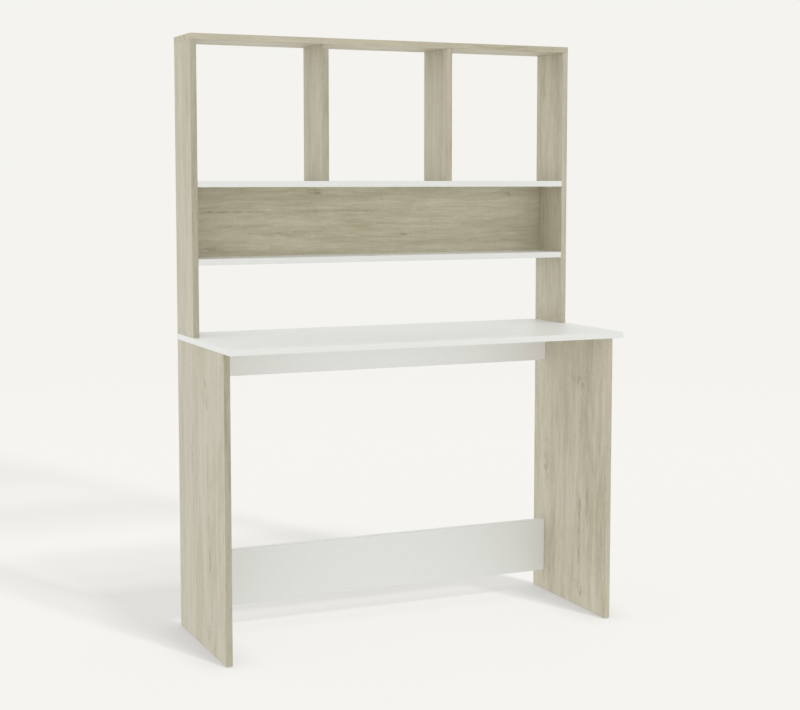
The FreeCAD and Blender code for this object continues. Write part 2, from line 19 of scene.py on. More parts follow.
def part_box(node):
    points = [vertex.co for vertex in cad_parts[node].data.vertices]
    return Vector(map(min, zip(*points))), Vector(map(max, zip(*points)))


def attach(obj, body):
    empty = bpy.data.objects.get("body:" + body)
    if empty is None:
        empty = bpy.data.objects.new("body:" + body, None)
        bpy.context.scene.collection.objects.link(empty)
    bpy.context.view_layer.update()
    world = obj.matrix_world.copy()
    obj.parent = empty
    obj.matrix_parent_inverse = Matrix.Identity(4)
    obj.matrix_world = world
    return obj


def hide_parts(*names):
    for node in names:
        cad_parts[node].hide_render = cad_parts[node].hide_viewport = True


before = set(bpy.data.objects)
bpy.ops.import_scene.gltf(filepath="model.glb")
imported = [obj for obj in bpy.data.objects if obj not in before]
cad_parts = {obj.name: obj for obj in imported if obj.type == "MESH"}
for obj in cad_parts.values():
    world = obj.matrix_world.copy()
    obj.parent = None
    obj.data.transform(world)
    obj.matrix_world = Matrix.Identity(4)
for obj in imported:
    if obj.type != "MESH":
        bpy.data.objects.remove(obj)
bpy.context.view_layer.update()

ROOT = "root"
MM = 0.001
COLOUR_STEPS = 255
HEXAGON = 6

log = logging.getLogger("student_desk")

BMesh = bmesh.types.BMesh
Loop = list[bmesh.types.BMVert]
Profile = Sequence[tuple[float, float]]
Swell = Callable[[float, float], float]
Feed = Union["Signal", "Colour", float, Sequence[float]]
Feeds = Mapping[Union[str, int], Feed]
Signals = Mapping[str, "Signal"]


class GrainRun(Enum):
    """How a board lies: the axes along its grain, across it and through the board."""

    UPRIGHT = (2, 1, 0)
    FLAT = (0, 1, 2)
    FACING = (0, 2, 1)

    @property
    def through(self) -> int:
        """The axis through the board's thickness."""
        return self.value[2]


@dataclass(frozen=True)
class Colour:
    """A colour as the eye sees it, in steps of 0 to 255."""

    red: float
    green: float
    blue: float

    def linear(self) -> tuple[float, float, float, float]:
        """The colour as light, with full cover."""
        shown = Color([step / COLOUR_STEPS for step in (self.red, self.green, self.blue)])
        return (*shown.from_srgb_to_scene_linear(), 1.0)

    def scaled(self, factor: float) -> "Colour":
        """The colour with each step multiplied by a factor."""
        return Colour(self.red * factor, self.green * factor, self.blue * factor)


WHITE_LIGHT = Colour(COLOUR_STEPS, COLOUR_STEPS, COLOUR_STEPS)


def feed(socket: NodeSocket, value: Feed) -> None:
    """Joins a socket to a signal, or sets its value.

    Args:
        socket: The socket.
        value: What goes into it.
    """
    if isinstance(value, Signal):
        socket.id_data.links.new(value.socket, socket)
    else:
        socket.default_value = value.linear() if isinstance(value, Colour) else value


def add_node(tree: NodeTree, kind: str, feeds: Optional[Feeds] = None, **settings: object) -> Node:
    """Adds a shader node.

    Args:
        tree: The tree to work in.
        kind: The node's type, without its ShaderNode prefix.
        feeds: What goes into its sockets, by name or number.
        settings: The node's own properties.

    Returns:
        The new node.
    """
    node = tree.nodes.new("ShaderNode" + kind)
    for name, value in settings.items():
        setattr(node, name, value)
    for key, value in (feeds or {}).items():
        feed(node.inputs[key], value)
    return node


class Signal:
    """A number, vector, colour or shader over a surface. Sums of signals become shader nodes."""

    # The sockets of the Mix node that carry colours.
    mix_first, mix_second, mix_result = 6, 7, 2

    def __init__(self, socket: NodeSocket) -> None:
        """Takes the socket that gives it."""
        self.socket = socket
        self.tree = socket.id_data

    def made(
        self, kind: str, feeds: Feeds, output: Union[int, str] = 0, **settings: object
    ) -> "Signal":
        """What a new node beside it gives."""
        return Signal(add_node(self.tree, kind, feeds, **settings).outputs[output])

    def sum(self, operation: str, *others: Feed, output: Union[int, str] = 0) -> "Signal":
        """The result of a sum that starts with it."""
        kind = "Math" if self.socket.type == "VALUE" else "VectorMath"
        return self.made(kind, dict(enumerate((self, *others))), output, operation=operation)

    def __add__(self, other: Feed) -> "Signal":
        """Both added."""
        return self.sum("ADD", other)

    def __sub__(self, other: Feed) -> "Signal":
        """It less the other."""
        return self.sum("SUBTRACT", other)

    def __mul__(self, other: Feed) -> "Signal":
        """Both multiplied."""
        return self.sum("MULTIPLY", other)

    def __truediv__(self, other: Feed) -> "Signal":
        """It divided by the other."""
        return self.sum("DIVIDE", other)

    def clamped(self) -> "Signal":
        """It held between 0 and 1."""
        return self.made("Clamp", {0: self})

    def eased(self, low: float, high: float, start: float = 0.0, end: float = 1.0) -> "Signal":
        """It eased from the range low to high into the range start to end."""
        feeds = {"Value": self, "From Min": low, "From Max": high, "To Min": start, "To Max": end}
        return self.made("MapRange", feeds, interpolation_type="SMOOTHSTEP")

    def mixed(self, first: Feed, second: Feed) -> "Signal":
        """A colour between two others, with as much of the second as it says."""
        feeds = {0: self, self.mix_first: first, self.mix_second: second}
        return self.made("Mix", feeds, self.mix_result, data_type="RGBA")

    def blended(self, factor: Feed, other: "Signal") -> "Signal":
        """A shader between it and another, with as much of the other as a factor says."""
        return self.made("MixShader", {0: factor, 1: self, 2: other})

    def parts(self) -> list["Signal"]:
        """The three parts of a vector."""
        return [Signal(part) for part in add_node(self.tree, "SeparateXYZ", {0: self}).outputs]


def join(*parts: Signal) -> Signal:
    """A vector of three parts."""
    return parts[0].made("CombineXYZ", dict(enumerate(parts)))


@dataclass(frozen=True)
class Cloud:
    """Cloudy noise: clouds to the metre on each axis, finer layers, and the range that counts."""

    stretch: tuple[float, float, float]
    detail: float = 2.0
    roughness: float = 0.5
    low: float = 0.25
    high: float = 0.75

    def values(self, place: Signal) -> Signal:
        """Its values from 0 to 1, by the place in metres."""
        feeds = {"Scale": 1.0, "Detail": self.detail, "Roughness": self.roughness}
        return place.made("TexNoise", {"Vector": place * self.stretch, **feeds})

    def swing(self, place: Signal) -> Signal:
        """How far its values swing from their middle."""
        return self.values(place) - 0.5

    def eased(self, place: Signal, start: float = 0.0, end: float = 1.0) -> Signal:
        """Its values, with the range that counts eased into the range start to end."""
        return self.values(place).eased(self.low, self.high, start, end)


class Effect:
    """A node group that several finishes share, built once and laid with values of its own."""

    name: ClassVar[str] = ""
    takes: ClassVar[Mapping[str, str]] = {"Place": "Vector"}
    gives: ClassVar[Mapping[str, str]] = {}

    def wire(self, given: Signals) -> Signals:
        """The inside of the group: its outputs by name, from its inputs by name."""
        raise NotImplementedError

    def tree(self) -> NodeTree:
        """Builds the group's tree, the first time that it is asked for.

        Returns:
            The tree.
        """
        found = bpy.data.node_groups.get(self.name)
        if found is not None:
            return found
        tree = bpy.data.node_groups.new(self.name, "ShaderNodeTree")
        for way, sockets in (("INPUT", self.takes), ("OUTPUT", self.gives)):
            for label, kind in sockets.items():
                tree.interface.new_socket(name=label, in_out=way, socket_type="NodeSocket" + kind)
        way_in = tree.nodes.new("NodeGroupInput").outputs
        way_out = tree.nodes.new("NodeGroupOutput").inputs
        made = self.wire({label: Signal(way_in[label]) for label in self.takes})
        for label, value in made.items():
            feed(way_out[label], value)
        return tree

    def laid(self, place: Signal, **values: Feed) -> Signals:
        """Its outputs by name where it is laid, by the place in metres and by its other inputs."""
        node = add_node(place.tree, "Group", {"Place": place, **values}, node_tree=self.tree())
        return {label: Signal(node.outputs[label]) for label in self.gives}


class Knot(Effect):
    """A knot or dark streak: a stretched spot that the grain flows round."""

    name = "knot"
    takes = {
        "Place": "Vector",
        "Along": "Float",
        "Across": "Float",
        "Length": "Float",
        "Width": "Float",
        "Curl": "Float",
    }
    gives = {"Place": "Vector", "Mask": "Float"}
    tear, tear_depth = Cloud((60.0, 75.0, 75.0), 4.0, 0.6), 1.6
    rim, heart = 1.0, 0.2
    stroke = Cloud((34.0, 330.0, 330.0), 3.0, 0.6, 0.36, 0.60)
    hill, curl_width = Cloud((80.0, 120.0, 120.0), 1.0), 0.07
    pull_reach, squeeze = 2.2, 0.7

    def wire(self, given: Signals) -> Signals:
        """Squeezes the grain towards the knot's own line and marks its dark heart.

        Args:
            given: The group's inputs by name.

        Returns:
            The squeezed place, and the mask of the heart.
        """
        place = given["Place"]
        along, across, through = place.parts()
        off_across = across - given["Across"]
        far_along = (along - given["Along"]) / given["Length"]
        far_across = off_across / given["Width"]
        reach = (far_across * far_across + far_along * far_along).sum("SQRT")
        cover = (reach + self.tear.swing(place) * self.tear_depth).eased(self.rim, self.heart)
        strokes = self.stroke.eased(place)
        curls = self.hill.swing(place).sum("ABSOLUTE").eased(self.curl_width, 0.0)
        pull = reach.eased(self.pull_reach, 0.0, 1.0, self.squeeze)
        return {
            "Place": join(along, off_across * pull + given["Across"], through),
            "Mask": cover * (strokes + (curls - strokes) * given["Curl"]),
        }


class OakFigure(Effect):
    """Oak as it is printed on facings: bands, streaks, fibres, rings, pores and cross flecks."""

    name = "oak_figure"
    takes = {
        "Place": "Vector",
        "Marks": "Float",
        "Pale": "Color",
        "Middle": "Color",
        "Dark": "Color",
        "Heart": "Color",
    }
    gives = {"Colour": "Color", "Roughness": "Float", "Height": "Float"}
    sway, sway_depth = Cloud((1.3, 5.0, 5.0)), 0.050
    ripple, ripple_depth = Cloud((13.0, 24.0, 24.0), 3.0), 0.011
    band, band_share = Cloud((1.5, 13.0, 13.0), 2.0, 0.5, 0.28, 0.72), 0.25
    streak, streak_share = Cloud((3.4, 52.0, 52.0), 4.0, 0.6), 0.27
    thread, thread_share = Cloud((17.0, 180.0, 180.0), 4.0, 0.6), 0.26
    fibre, fibre_share = Cloud((45.0, 700.0, 700.0), 3.0, 0.6), 0.15
    hill, ring_share = Cloud((0.8, 4.5, 4.5), 1.0), 0.07
    ring_count, ring_rise, ring_fall = 16.0, 0.6, 0.9
    contrast, ground = 1.9, -0.45
    pore, pore_tone = Cloud((52.0, 1500.0, 1500.0), 2.0, 0.5, 0.60, 0.70), 0.42
    pore_high, pore_low, pore_least = 0.75, 0.2, 0.15
    patch, fleck_least, fleck_most = Cloud((5.0, 14.0, 14.0), 2.0, 0.5, 0.36, 0.66), 0.05, 0.17
    ray = Cloud((175.0, 30.0, 30.0), 3.0, 0.6)
    fibre_height, sunk_height = 0.5, -0.7
    gap_roughness, fibre_roughness, sunk_roughness = 0.50, 0.42, 0.16

    def wire(self, given: Signals) -> Signals:
        """Bends the grain, and layers the figure from broad to fine.

        Args:
            given: The group's inputs by name.

        Returns:
            The colour, roughness and height.
        """
        place = given["Place"]
        along, across, through = place.parts()
        swayed = across + self.sway.swing(place) * self.sway_depth
        flow = join(along, swayed + self.ripple.swing(place) * self.ripple_depth, through)
        streaks, fibres = self.streak.eased(flow), self.fibre.eased(flow)
        ring = (self.hill.values(flow) * self.ring_count).sum("FRACT")
        tone = (
            self.band.eased(flow) * self.band_share
            + streaks * self.streak_share
            + self.thread.eased(flow) * self.thread_share
            + fibres * self.fibre_share
            + ring.eased(0.0, self.ring_rise) * ring.eased(1.0, self.ring_fall) * self.ring_share
        )
        shade = (tone * self.contrast + self.ground).clamped() * 2.0
        wood = shade.clamped().mixed(given["Dark"], given["Middle"])
        wood = (shade - 1.0).clamped().mixed(wood, given["Pale"])
        open_grain = streaks.eased(self.pore_high, self.pore_low, self.pore_least, 1.0)
        pores = self.pore.eased(flow) * open_grain
        for dark in (pores * self.pore_tone, given["Marks"]):
            wood = dark.mixed(wood, given["Heart"])
        patches = self.patch.eased(place, self.fleck_least, self.fleck_most)
        flecks = self.ray.swing(place) * patches + 1.0
        sunk = pores.sum("MAXIMUM", given["Marks"])
        matt = fibres.eased(0.0, 1.0, self.gap_roughness, self.fibre_roughness)
        return {
            "Colour": wood.made("VectorMath", {0: wood, "Scale": flecks}, operation="SCALE"),
            "Roughness": sunk * self.sunk_roughness + matt,
            "Height": sunk * self.sunk_height + fibres * self.fibre_height,
        }


class RawCore(Effect):
    """The bare chipboard of a sawn edge or a drilled bore."""

    name = "raw_core"
    takes = {"Place": "Vector", "Pale": "Color", "Dark": "Color"}
    gives = {"Colour": "Color"}
    fray, fray_reach = Cloud((520.0,) * 3, 3.0, 0.6), (0.0022, -0.0018, 0.0016)
    dust, dust_share = Cloud((2400.0,) * 3, 3.0), 0.34
    chips = ((520.0, 0.30), (1450.0, 0.36))

    def wire(self, given: Signals) -> Signals:
        """Lays chips of two sizes and several tones over a dusty ground.

        Args:
            given: The group's inputs by name.

        Returns:
            The colour.
        """
        place = given["Place"]
        torn = self.fray.values(place)
        frayed = place + join(torn, torn, torn) * self.fray_reach
        tone = self.dust.values(place) * self.dust_share
        for part, (scale, share) in enumerate(self.chips):
            feeds = {"Vector": frayed, "Scale": scale, "Randomness": 1.0}
            chip = place.made("TexVoronoi", feeds, "Color", feature="F1")
            tone = tone + chip.parts()[part] * share
        return {"Colour": tone.mixed(given["Dark"], given["Pale"])}


class EdgeWear(Effect):
    """Where hands rub: a mask along a piece's edges, broken up by noise, and a rounded normal."""

    name = "edge_wear"
    gives = {"Mask": "Float", "Normal": "Vector"}
    reach, samples = 0.0009, 6
    flat_turn, sharp_turn = 0.995, 0.80
    patch = Cloud((65.0,) * 3, 4.0, 0.65, 0.35, 0.7)

    def wire(self, given: Signals) -> Signals:
        """Finds edges by how far a rounded normal turns from the flat one.

        Args:
            given: The group's inputs by name.

        Returns:
            The mask and the rounded normal.
        """
        place = given["Place"]
        rounded = place.made("Bevel", {"Radius": self.reach}, samples=self.samples)
        turn = rounded.sum("DOT_PRODUCT", place.made("NewGeometry", {}, "Normal"), output="Value")
        edge = turn.eased(self.flat_turn, self.sharp_turn)
        return {"Mask": edge * self.patch.eased(place), "Normal": rounded}


class Handling(Effect):
    """Faint marks of handling: soft smudges that dull or polish a surface, and a little dust."""

    name = "handling"
    gives = {"Smudge": "Float", "Dust": "Float"}
    broad, broad_share = Cloud((9.0,) * 3, 3.0), 0.7
    small, small_share = Cloud((70.0,) * 3), 0.3
    settled = Cloud((26.0,) * 3, 5.0, 0.7, 0.45, 0.8)
    leaning, level = 0.6, 1.0

    def wire(self, given: Signals) -> Signals:
        """Lays clouds of two sizes, and dust that settles on faces that look up.

        Args:
            given: The group's inputs by name.

        Returns:
            The smudges and the dust.
        """
        place = given["Place"]
        broad = self.broad.values(place) * self.broad_share
        resting = place.made("NewGeometry", {}, "Normal").parts()[2].eased(self.leaning, self.level)
        return {
            "Smudge": broad + self.small.values(place) * self.small_share,
            "Dust": resting * self.settled.eased(place),
        }


class FinePearl(Effect):
    """The fine pearled skin of a pressed or moulded surface."""

    name = "fine_pearl"
    takes = {"Place": "Vector", "Grains": "Float"}
    gives = {"Height": "Float", "Speck": "Float"}
    smoothness = 0.8
    speck = Cloud((310.0,) * 3, 3.0, 0.5, 0.3, 0.7)

    def wire(self, given: Signals) -> Signals:
        """Lays rounded grains of even size with a few specks.

        Args:
            given: The group's inputs by name.

        Returns:
            The grains' height and the specks.
        """
        place = given["Place"]
        feeds = {"Vector": place, "Scale": given["Grains"], "Smoothness": self.smoothness}
        dip = place.made("TexVoronoi", feeds, "Distance", feature="SMOOTH_F1")
        return {"Height": dip * -1.0 + 1.0, "Speck": self.speck.eased(place)}


class Skin:
    """A material under way: its shader, and the marks of use that the finishes share."""

    def __init__(self, name: str) -> None:
        """Starts a material.

        Args:
            name: The material's name.
        """
        self.material = bpy.data.materials.new(name)
        self.material.use_nodes = True
        self.tree = self.material.node_tree
        self.shader = self.tree.nodes["Principled BSDF"]
        self.place = self.spot("Object")

    def spot(self, kind: str) -> Signal:
        """A surface coordinate in the desk's own frame, such as the place in metres."""
        return Signal(add_node(self.tree, "TexCoord").outputs[kind])

    @cached_property
    def wear(self) -> Signals:
        """The wear along its edges."""
        return EdgeWear().laid(self.place)

    @cached_property
    def use(self) -> Signals:
        """The marks of its handling."""
        return Handling().laid(self.place)

    def set(self, feeds: Feeds) -> None:
        """Feeds the shader, by the names of its sockets."""
        for name, value in feeds.items():
            feed(self.shader.inputs[name], value)


@dataclass(frozen=True)
class Mark:
    """A knot or dark streak on a board, in metres from the board's low corner."""

    along: float
    across: float
    length: float
    width: float
    depth: float
    curl: float = 0.0

    def laid(self, place: Signal) -> tuple[Signal, Signal]:
        """The place with the grain squeezed round the mark, and how dark the mark is there."""
        spot = {"Along": self.along, "Across": self.across, "Curl": self.curl}
        made = Knot().laid(place, Length=self.length, Width=self.width, **spot)
        return made["Place"], made["Mask"] * self.depth


@dataclass(frozen=True)
class Cut:
    """How a board's facing is cut: its lie, its corner, its stretch of print and its edges."""

    run: GrainRun
    corner: Vector
    seed: float
    marks: tuple[Mark, ...]
    raw_edges: bool


@dataclass(frozen=True)
class RawEdge:
    """The chipboard that shows where a board is sawn or drilled."""

    pale: Colour = Colour(205, 182, 146)
    dark: Colour = Colour(138, 108, 74)
    face_turn: float = 0.5

    def mask(self, skin: Skin, run: GrainRun) -> Signal:
        """1 on a board's edges and in its bores, 0 on its two faces."""
        turn = skin.spot("Normal").parts()[run.through]
        return turn.sum("ABSOLUTE").sum("LESS_THAN", self.face_turn)

    def colour(self, skin: Skin) -> Signal:
        """The chips' colour."""
        return RawCore().laid(skin.place, Pale=self.pale, Dark=self.dark)["Colour"]


class Finish:
    """A finish: a ground, and the marks of use that are laid over it."""

    relief: float
    dusting: ClassVar[float] = 0.0
    rub: ClassVar[float] = 0.0
    smudge: ClassVar[float] = 0.0
    raw: ClassVar[RawEdge] = RawEdge()
    raw_dulling: ClassVar[float] = 0.0
    constants: ClassVar[Mapping[str, float]] = {}

    def ground(self, skin: Skin, cut: Optional[Cut]) -> tuple[Signal, Feed, Signal]:
        """Its colour, roughness and height before it is used."""
        raise NotImplementedError

    def bare(self) -> Colour:
        """The colour where it is dusty or rubbed."""
        raise NotImplementedError

    def material(self, name: str, cut: Optional[Cut] = None) -> Material:
        """Makes a material of the finish.

        Args:
            name: The material's name.
            cut: How it is cut, if it is a board's facing.

        Returns:
            The material.
        """
        skin = Skin(name)
        colour, rough, height = self.ground(skin, cut)
        relief = {"Strength": 1.0, "Distance": self.relief, "Height": height}
        if self.dusting:
            colour = (skin.use["Dust"] * self.dusting).mixed(colour, self.bare())
        if self.rub:
            colour = (skin.wear["Mask"] * self.rub).mixed(colour, self.bare())
        if self.smudge:
            rough = skin.use["Smudge"] * self.smudge + rough
        if cut is not None:
            relief["Normal"] = skin.wear["Normal"]
            if cut.raw_edges:
                mask = self.raw.mask(skin, cut.run)
                colour = mask.mixed(colour, self.raw.colour(skin))
                rough = (mask * self.raw_dulling + rough).clamped()
        bump = height.made("Bump", relief)
        skin.set({"Base Color": colour, "Roughness": rough, "Normal": bump, **self.constants})
        return skin.material


@dataclass(frozen=True)
class OakFacing(Finish):
    """Oak-look facing, printed and pressed with a fine open grain."""

    kind, rub, smudge, raw_dulling = "oak", 0.35, 0.08, 0.4
    constants = {"Specular IOR Level": 0.35}
    print_step = (1.7, 0.43, 0.29)
    pale: Colour = Colour(209, 203, 184)
    middle: Colour = Colour(197, 190, 169)
    dark: Colour = Colour(181, 172, 146)
    heart: Colour = Colour(124, 113, 84)
    worn: Colour = Colour(210, 206, 192)
    relief: float = 0.00012

    def bare(self) -> Colour:
        """The colour where it is rubbed."""
        return self.worn

    def ground(self, skin: Skin, cut: Optional[Cut]) -> tuple[Signal, Feed, Signal]:
        """Lays the oak figure along a board, round its knots and streaks.

        Args:
            skin: The board's material.
            cut: How its facing is cut.

        Returns:
            The figure's colour, roughness and height.
        """
        parts = (skin.place - tuple(cut.corner)).parts()
        place = join(*(parts[axis] for axis in cut.run.value))
        depth: Feed = 0.0
        for mark in cut.marks:
            place, dark = mark.laid(place)
            depth = dark.sum("MAXIMUM", depth)
        tones = {"Pale": self.pale, "Middle": self.middle, "Dark": self.dark, "Heart": self.heart}
        stretch = place + [step * cut.seed for step in self.print_step]
        figure = OakFigure().laid(stretch, Marks=depth, **tones)
        return figure["Colour"], figure["Roughness"], figure["Height"]


@dataclass(frozen=True)
class MouldedPlastic(Finish):
    """Moulded plastic with a fine spark-eroded skin."""

    rub, smudge = 0.3, 0.2
    body: Colour = Colour(234, 234, 229)
    tint: Colour = Colour(228, 228, 222)
    roughness: float = 0.45
    relief: float = 0.00003
    grains: float = 2600.0

    def bare(self) -> Colour:
        """The colour where it is rubbed."""
        return self.tint

    def ground(self, skin: Skin, cut: Optional[Cut]) -> tuple[Signal, Feed, Signal]:
        """A fine pearl with specks of the tint."""
        pearl, rough = FinePearl().laid(skin.place, Grains=self.grains), self.roughness
        return pearl["Speck"].mixed(self.body, self.tint), rough - self.smudge / 2, pearl["Height"]


@dataclass(frozen=True)
class WhiteFacing(MouldedPlastic):
    """White facing, pressed with a fine pearl."""

    kind, dusting, rub, smudge, raw_dulling = "white", 0.12, 0.18, 0.14, 0.45
    constants = {"Specular IOR Level": 0.4}
    body: Colour = Colour(239, 240, 236)
    tint: Colour = Colour(236, 237, 234)
    roughness: float = 0.40
    relief: float = 0.00002
    grains: float = 1400.0
    dust: Colour = Colour(226, 223, 214)

    def bare(self) -> Colour:
        """The colour where it is dusty or rubbed."""
        return self.dust


@dataclass(frozen=True)
class Metal(Finish):
    """Plated or cast metal with fine working marks."""

    rub, smudge, polish = 0.5, 0.24, 1.06
    constants = {"Metallic": 1.0}
    body: Colour
    dull: Colour
    roughness: float
    relief: float
    working: Cloud

    def bare(self) -> Colour:
        """The colour where it is rubbed bright."""
        return self.body.scaled(self.polish)

    def ground(self, skin: Skin, cut: Optional[Cut]) -> tuple[Signal, Feed, Signal]:
        """Bright metal in its working marks.

        Args:
            skin: The metal's material.
            cut: Not used, because it isn't a facing.

        Returns:
            The colour, roughness and height.
        """
        worked = self.working.values(skin.place)
        bright = worked.eased(self.working.low, self.working.high)
        return bright.mixed(self.dull, self.body), self.roughness - self.smudge / 2, worked


@dataclass(frozen=True)
class TurnedBeech(Finish):
    """Beech of dowels: a warm even wood with short dark flecks."""

    early_roughness, late_roughness = 0.5, 0.62
    grain = Cloud((260.0,) * 3, 4.0, 0.6, 0.3, 0.7)
    flecking = Cloud((900.0,) * 3, 2.0, 0.5, 0.58, 0.68)
    pale: Colour = Colour(224, 196, 158)
    dark: Colour = Colour(196, 160, 118)
    fleck: Colour = Colour(150, 110, 72)
    relief: float = 0.00006

    def ground(self, skin: Skin, cut: Optional[Cut]) -> tuple[Signal, Feed, Signal]:
        """Lays flecks over the early and late wood.

        Args:
            skin: The wood's material.
            cut: Not used, because it isn't a facing.

        Returns:
            The colour, roughness and height.
        """
        grain = self.grain.values(skin.place)
        early = grain.eased(self.grain.low, self.grain.high)
        wood = self.flecking.eased(skin.place).mixed(early.mixed(self.dark, self.pale), self.fleck)
        wear = self.early_roughness - self.late_roughness
        return wood, early * wear + self.late_roughness, grain


class Facing(Enum):
    """The facings of the boards and of their edge bands, some of them lighter or darker copies that
    carry painted light or painted shade.
    """

    OAK = OakFacing()
    CALM_OAK = OakFacing(Colour(205, 200, 182), Colour(196, 190, 170), Colour(185, 177, 154))
    # Painted light: the back board's oak is warmer and lighter than the rest, standing in for the
    # warm bounce light in the shaded niche.
    WARM_OAK = OakFacing(Colour(214, 208, 185), Colour(200, 193, 169), Colour(185, 176, 148))
    # Oak bands of the left leg, the hutch's left side and the left divider: bands are darker than
    # faces, and these are darker again than the right boards' bands, as painted shade for the left
    # side.
    DEEP_BAND = OakFacing(
        Colour(189, 183, 161), Colour(180, 174, 151), Colour(164, 156, 130), relief=0.00008
    )
    # Oak bands of the right leg, the hutch's right side, its top and the right divider: paler than
    # the left boards' bands, as painted light for the right side.
    PALE_BAND = OakFacing(
        Colour(201, 194, 172), Colour(192, 185, 162), Colour(175, 166, 140), relief=0.00008
    )
    WHITE = WhiteFacing()
    # Painted light: the apron's white is lighter than the other whites, to offset the shade under the
    # desktop.
    APRON_WHITE = WhiteFacing(Colour(245, 245, 242), Colour(242, 242, 240))
    # Painted shade: the stretcher's white is darker than the other whites.
    STRETCHER_WHITE = WhiteFacing(Colour(235, 236, 232), Colour(232, 233, 230))
    WHITE_BAND = WhiteFacing(Colour(237, 238, 233), Colour(234, 235, 231), 0.34, grains=2200.0)


@dataclass(frozen=True)
class Panel:
    """One board with the bands on its edges."""

    band_seed: ClassVar[float] = 7.3
    node: str
    facing: Facing
    band: Optional[Facing]
    run: GrainRun
    seed: float = 0.0
    marks: tuple[Mark, ...] = ()

    def dress(self) -> None:
        """Gives the board and its bands one material each, on every face."""
        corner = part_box(self.node)[0]
        cuts = {self.node: (self.facing, Cut(self.run, corner, self.seed, self.marks, True))}
        if self.band is not None:
            cut = Cut(self.run, corner, self.seed + self.band_seed, (), False)
            cuts[self.node + "_bands"] = (self.band, cut)
        for node, (facing, cut) in cuts.items():
            material = facing.value.material(f"{node}_{facing.value.kind}", cut)
            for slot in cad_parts[node].material_slots:
                slot.material = material
            log.info("dressed %s in %s", node, material.name)


class BoardSet:
    """A sub-assembly of boards, held as dataclass fields."""

    def dress(self) -> None:
        """Dresses each of its boards."""
        for part in fields(self):
            getattr(self, part.name).dress()


@dataclass(frozen=True)
class DeskFrame(BoardSet):
    """The two leg panels, the desktop over them and the two rails between them."""

    left_leg: Panel = Panel(
        "left_leg_panel",
        Facing.CALM_OAK,
        Facing.DEEP_BAND,
        GrainRun.UPRIGHT,
        1.0,
        (
            Mark(0.612, 0.146, 0.022, 0.040, 0.36, 1.0),
            Mark(0.596, 0.138, 0.016, 0.009, 0.62),
            Mark(0.645, 0.148, 0.020, 0.016, 0.35),
            Mark(0.440, 0.134, 0.120, 0.014, 0.32),
            Mark(0.226, 0.124, 0.046, 0.011, 0.60),
            Mark(0.310, 0.130, 0.060, 0.012, 0.40),
            Mark(0.052, 0.146, 0.022, 0.040, 0.36, 1.0),
            Mark(0.036, 0.138, 0.016, 0.009, 0.58),
            Mark(0.450, 0.262, 0.100, 0.014, 0.28),
        ),
    )
    right_leg: Panel = Panel(
        "right_leg_panel",
        Facing.OAK,
        Facing.PALE_BAND,
        GrainRun.UPRIGHT,
        2.0,
        (
            Mark(0.606, 0.144, 0.022, 0.040, 0.40, 1.0),
            Mark(0.590, 0.126, 0.017, 0.009, 0.70),
            Mark(0.480, 0.126, 0.100, 0.014, 0.36),
            Mark(0.262, 0.131, 0.052, 0.011, 0.66),
            Mark(0.205, 0.134, 0.036, 0.009, 0.50),
            Mark(0.130, 0.132, 0.060, 0.012, 0.35),
            Mark(0.056, 0.144, 0.022, 0.040, 0.40, 1.0),
            Mark(0.040, 0.126, 0.017, 0.009, 0.66),
            Mark(0.364, 0.310, 0.080, 0.020, 0.45),
            Mark(0.270, 0.092, 0.080, 0.014, 0.30),
        ),
    )
    desktop: Panel = Panel("desktop_panel", Facing.WHITE, Facing.WHITE_BAND, GrainRun.FLAT)
    # The apron's white carries painted light.
    apron: Panel = Panel("apron_rail", Facing.APRON_WHITE, Facing.WHITE_BAND, GrainRun.FACING)
    # The stretcher's white carries painted shade.
    stretcher: Panel = Panel(
        "stretcher_rail", Facing.STRETCHER_WHITE, Facing.WHITE_BAND, GrainRun.FACING
    )


@dataclass(frozen=True)
class Hutch(BoardSet):
    """The open shelving on the desktop: sides, top, two shelves, two dividers and a back board."""

    left_side: Panel = Panel(
        "hutch_left_side", Facing.CALM_OAK, Facing.DEEP_BAND, GrainRun.UPRIGHT, 3.0
    )
    right_side: Panel = Panel(
        "hutch_right_side", Facing.OAK, Facing.PALE_BAND, GrainRun.UPRIGHT, 4.0
    )
    top: Panel = Panel("hutch_top_panel", Facing.OAK, Facing.PALE_BAND, GrainRun.FLAT, 5.0)
    upper_shelf: Panel = Panel("upper_shelf", Facing.WHITE, Facing.WHITE_BAND, GrainRun.FLAT)
    lower_shelf: Panel = Panel("lower_shelf", Facing.WHITE, Facing.WHITE_BAND, GrainRun.FLAT)
    left_divider: Panel = Panel(
        "left_divider", Facing.CALM_OAK, Facing.DEEP_BAND, GrainRun.UPRIGHT, 6.0
    )
    right_divider: Panel = Panel(
        "right_divider", Facing.CALM_OAK, Facing.PALE_BAND, GrainRun.UPRIGHT, 8.0
    )
    back: Panel = Panel(
        "hutch_back_panel",
        # Oak with painted warm bounce light for the niche.
        Facing.WARM_OAK,
        None,
        GrainRun.FACING,
        11.0,
        (
            Mark(0.344, 0.163, 0.026, 0.014, 0.50, 1.0),
            Mark(0.356, 0.160, 0.014, 0.006, 0.60),
            Mark(0.900, 0.158, 0.026, 0.014, 0.42, 1.0),
            Mark(0.594, 0.049, 0.036, 0.007, 0.55),
            Mark(0.110, 0.111, 0.140, 0.005, 0.55),
            Mark(0.460, 0.113, 0.240, 0.006, 0.32),
            Mark(0.270, 0.054, 0.130, 0.012, 0.36),
            Mark(0.050, 0.018, 0.080, 0.006, 0.45),
        ),
    )


def keep_mesh(name: str, shape: BMesh) -> Mesh:
    """Keeps a shape as a mesh, and frees the shape.

    Args:
        name: The mesh's name.
        shape: The shape.

    Returns:
        The mesh.
    """
    mesh = bpy.data.meshes.new(name)
    shape.to_mesh(mesh)
    shape.free()
    return mesh


def put_in_scene(name: str, data: bpy.types.ID) -> Object:
    """Puts a mesh, lamp or camera in the scene.

    Args:
        name: The object's name.
        data: What it holds.

    Returns:
        The object.
    """
    placed = bpy.data.objects.new(name, data)
    bpy.context.scene.collection.objects.link(placed)
    return placed


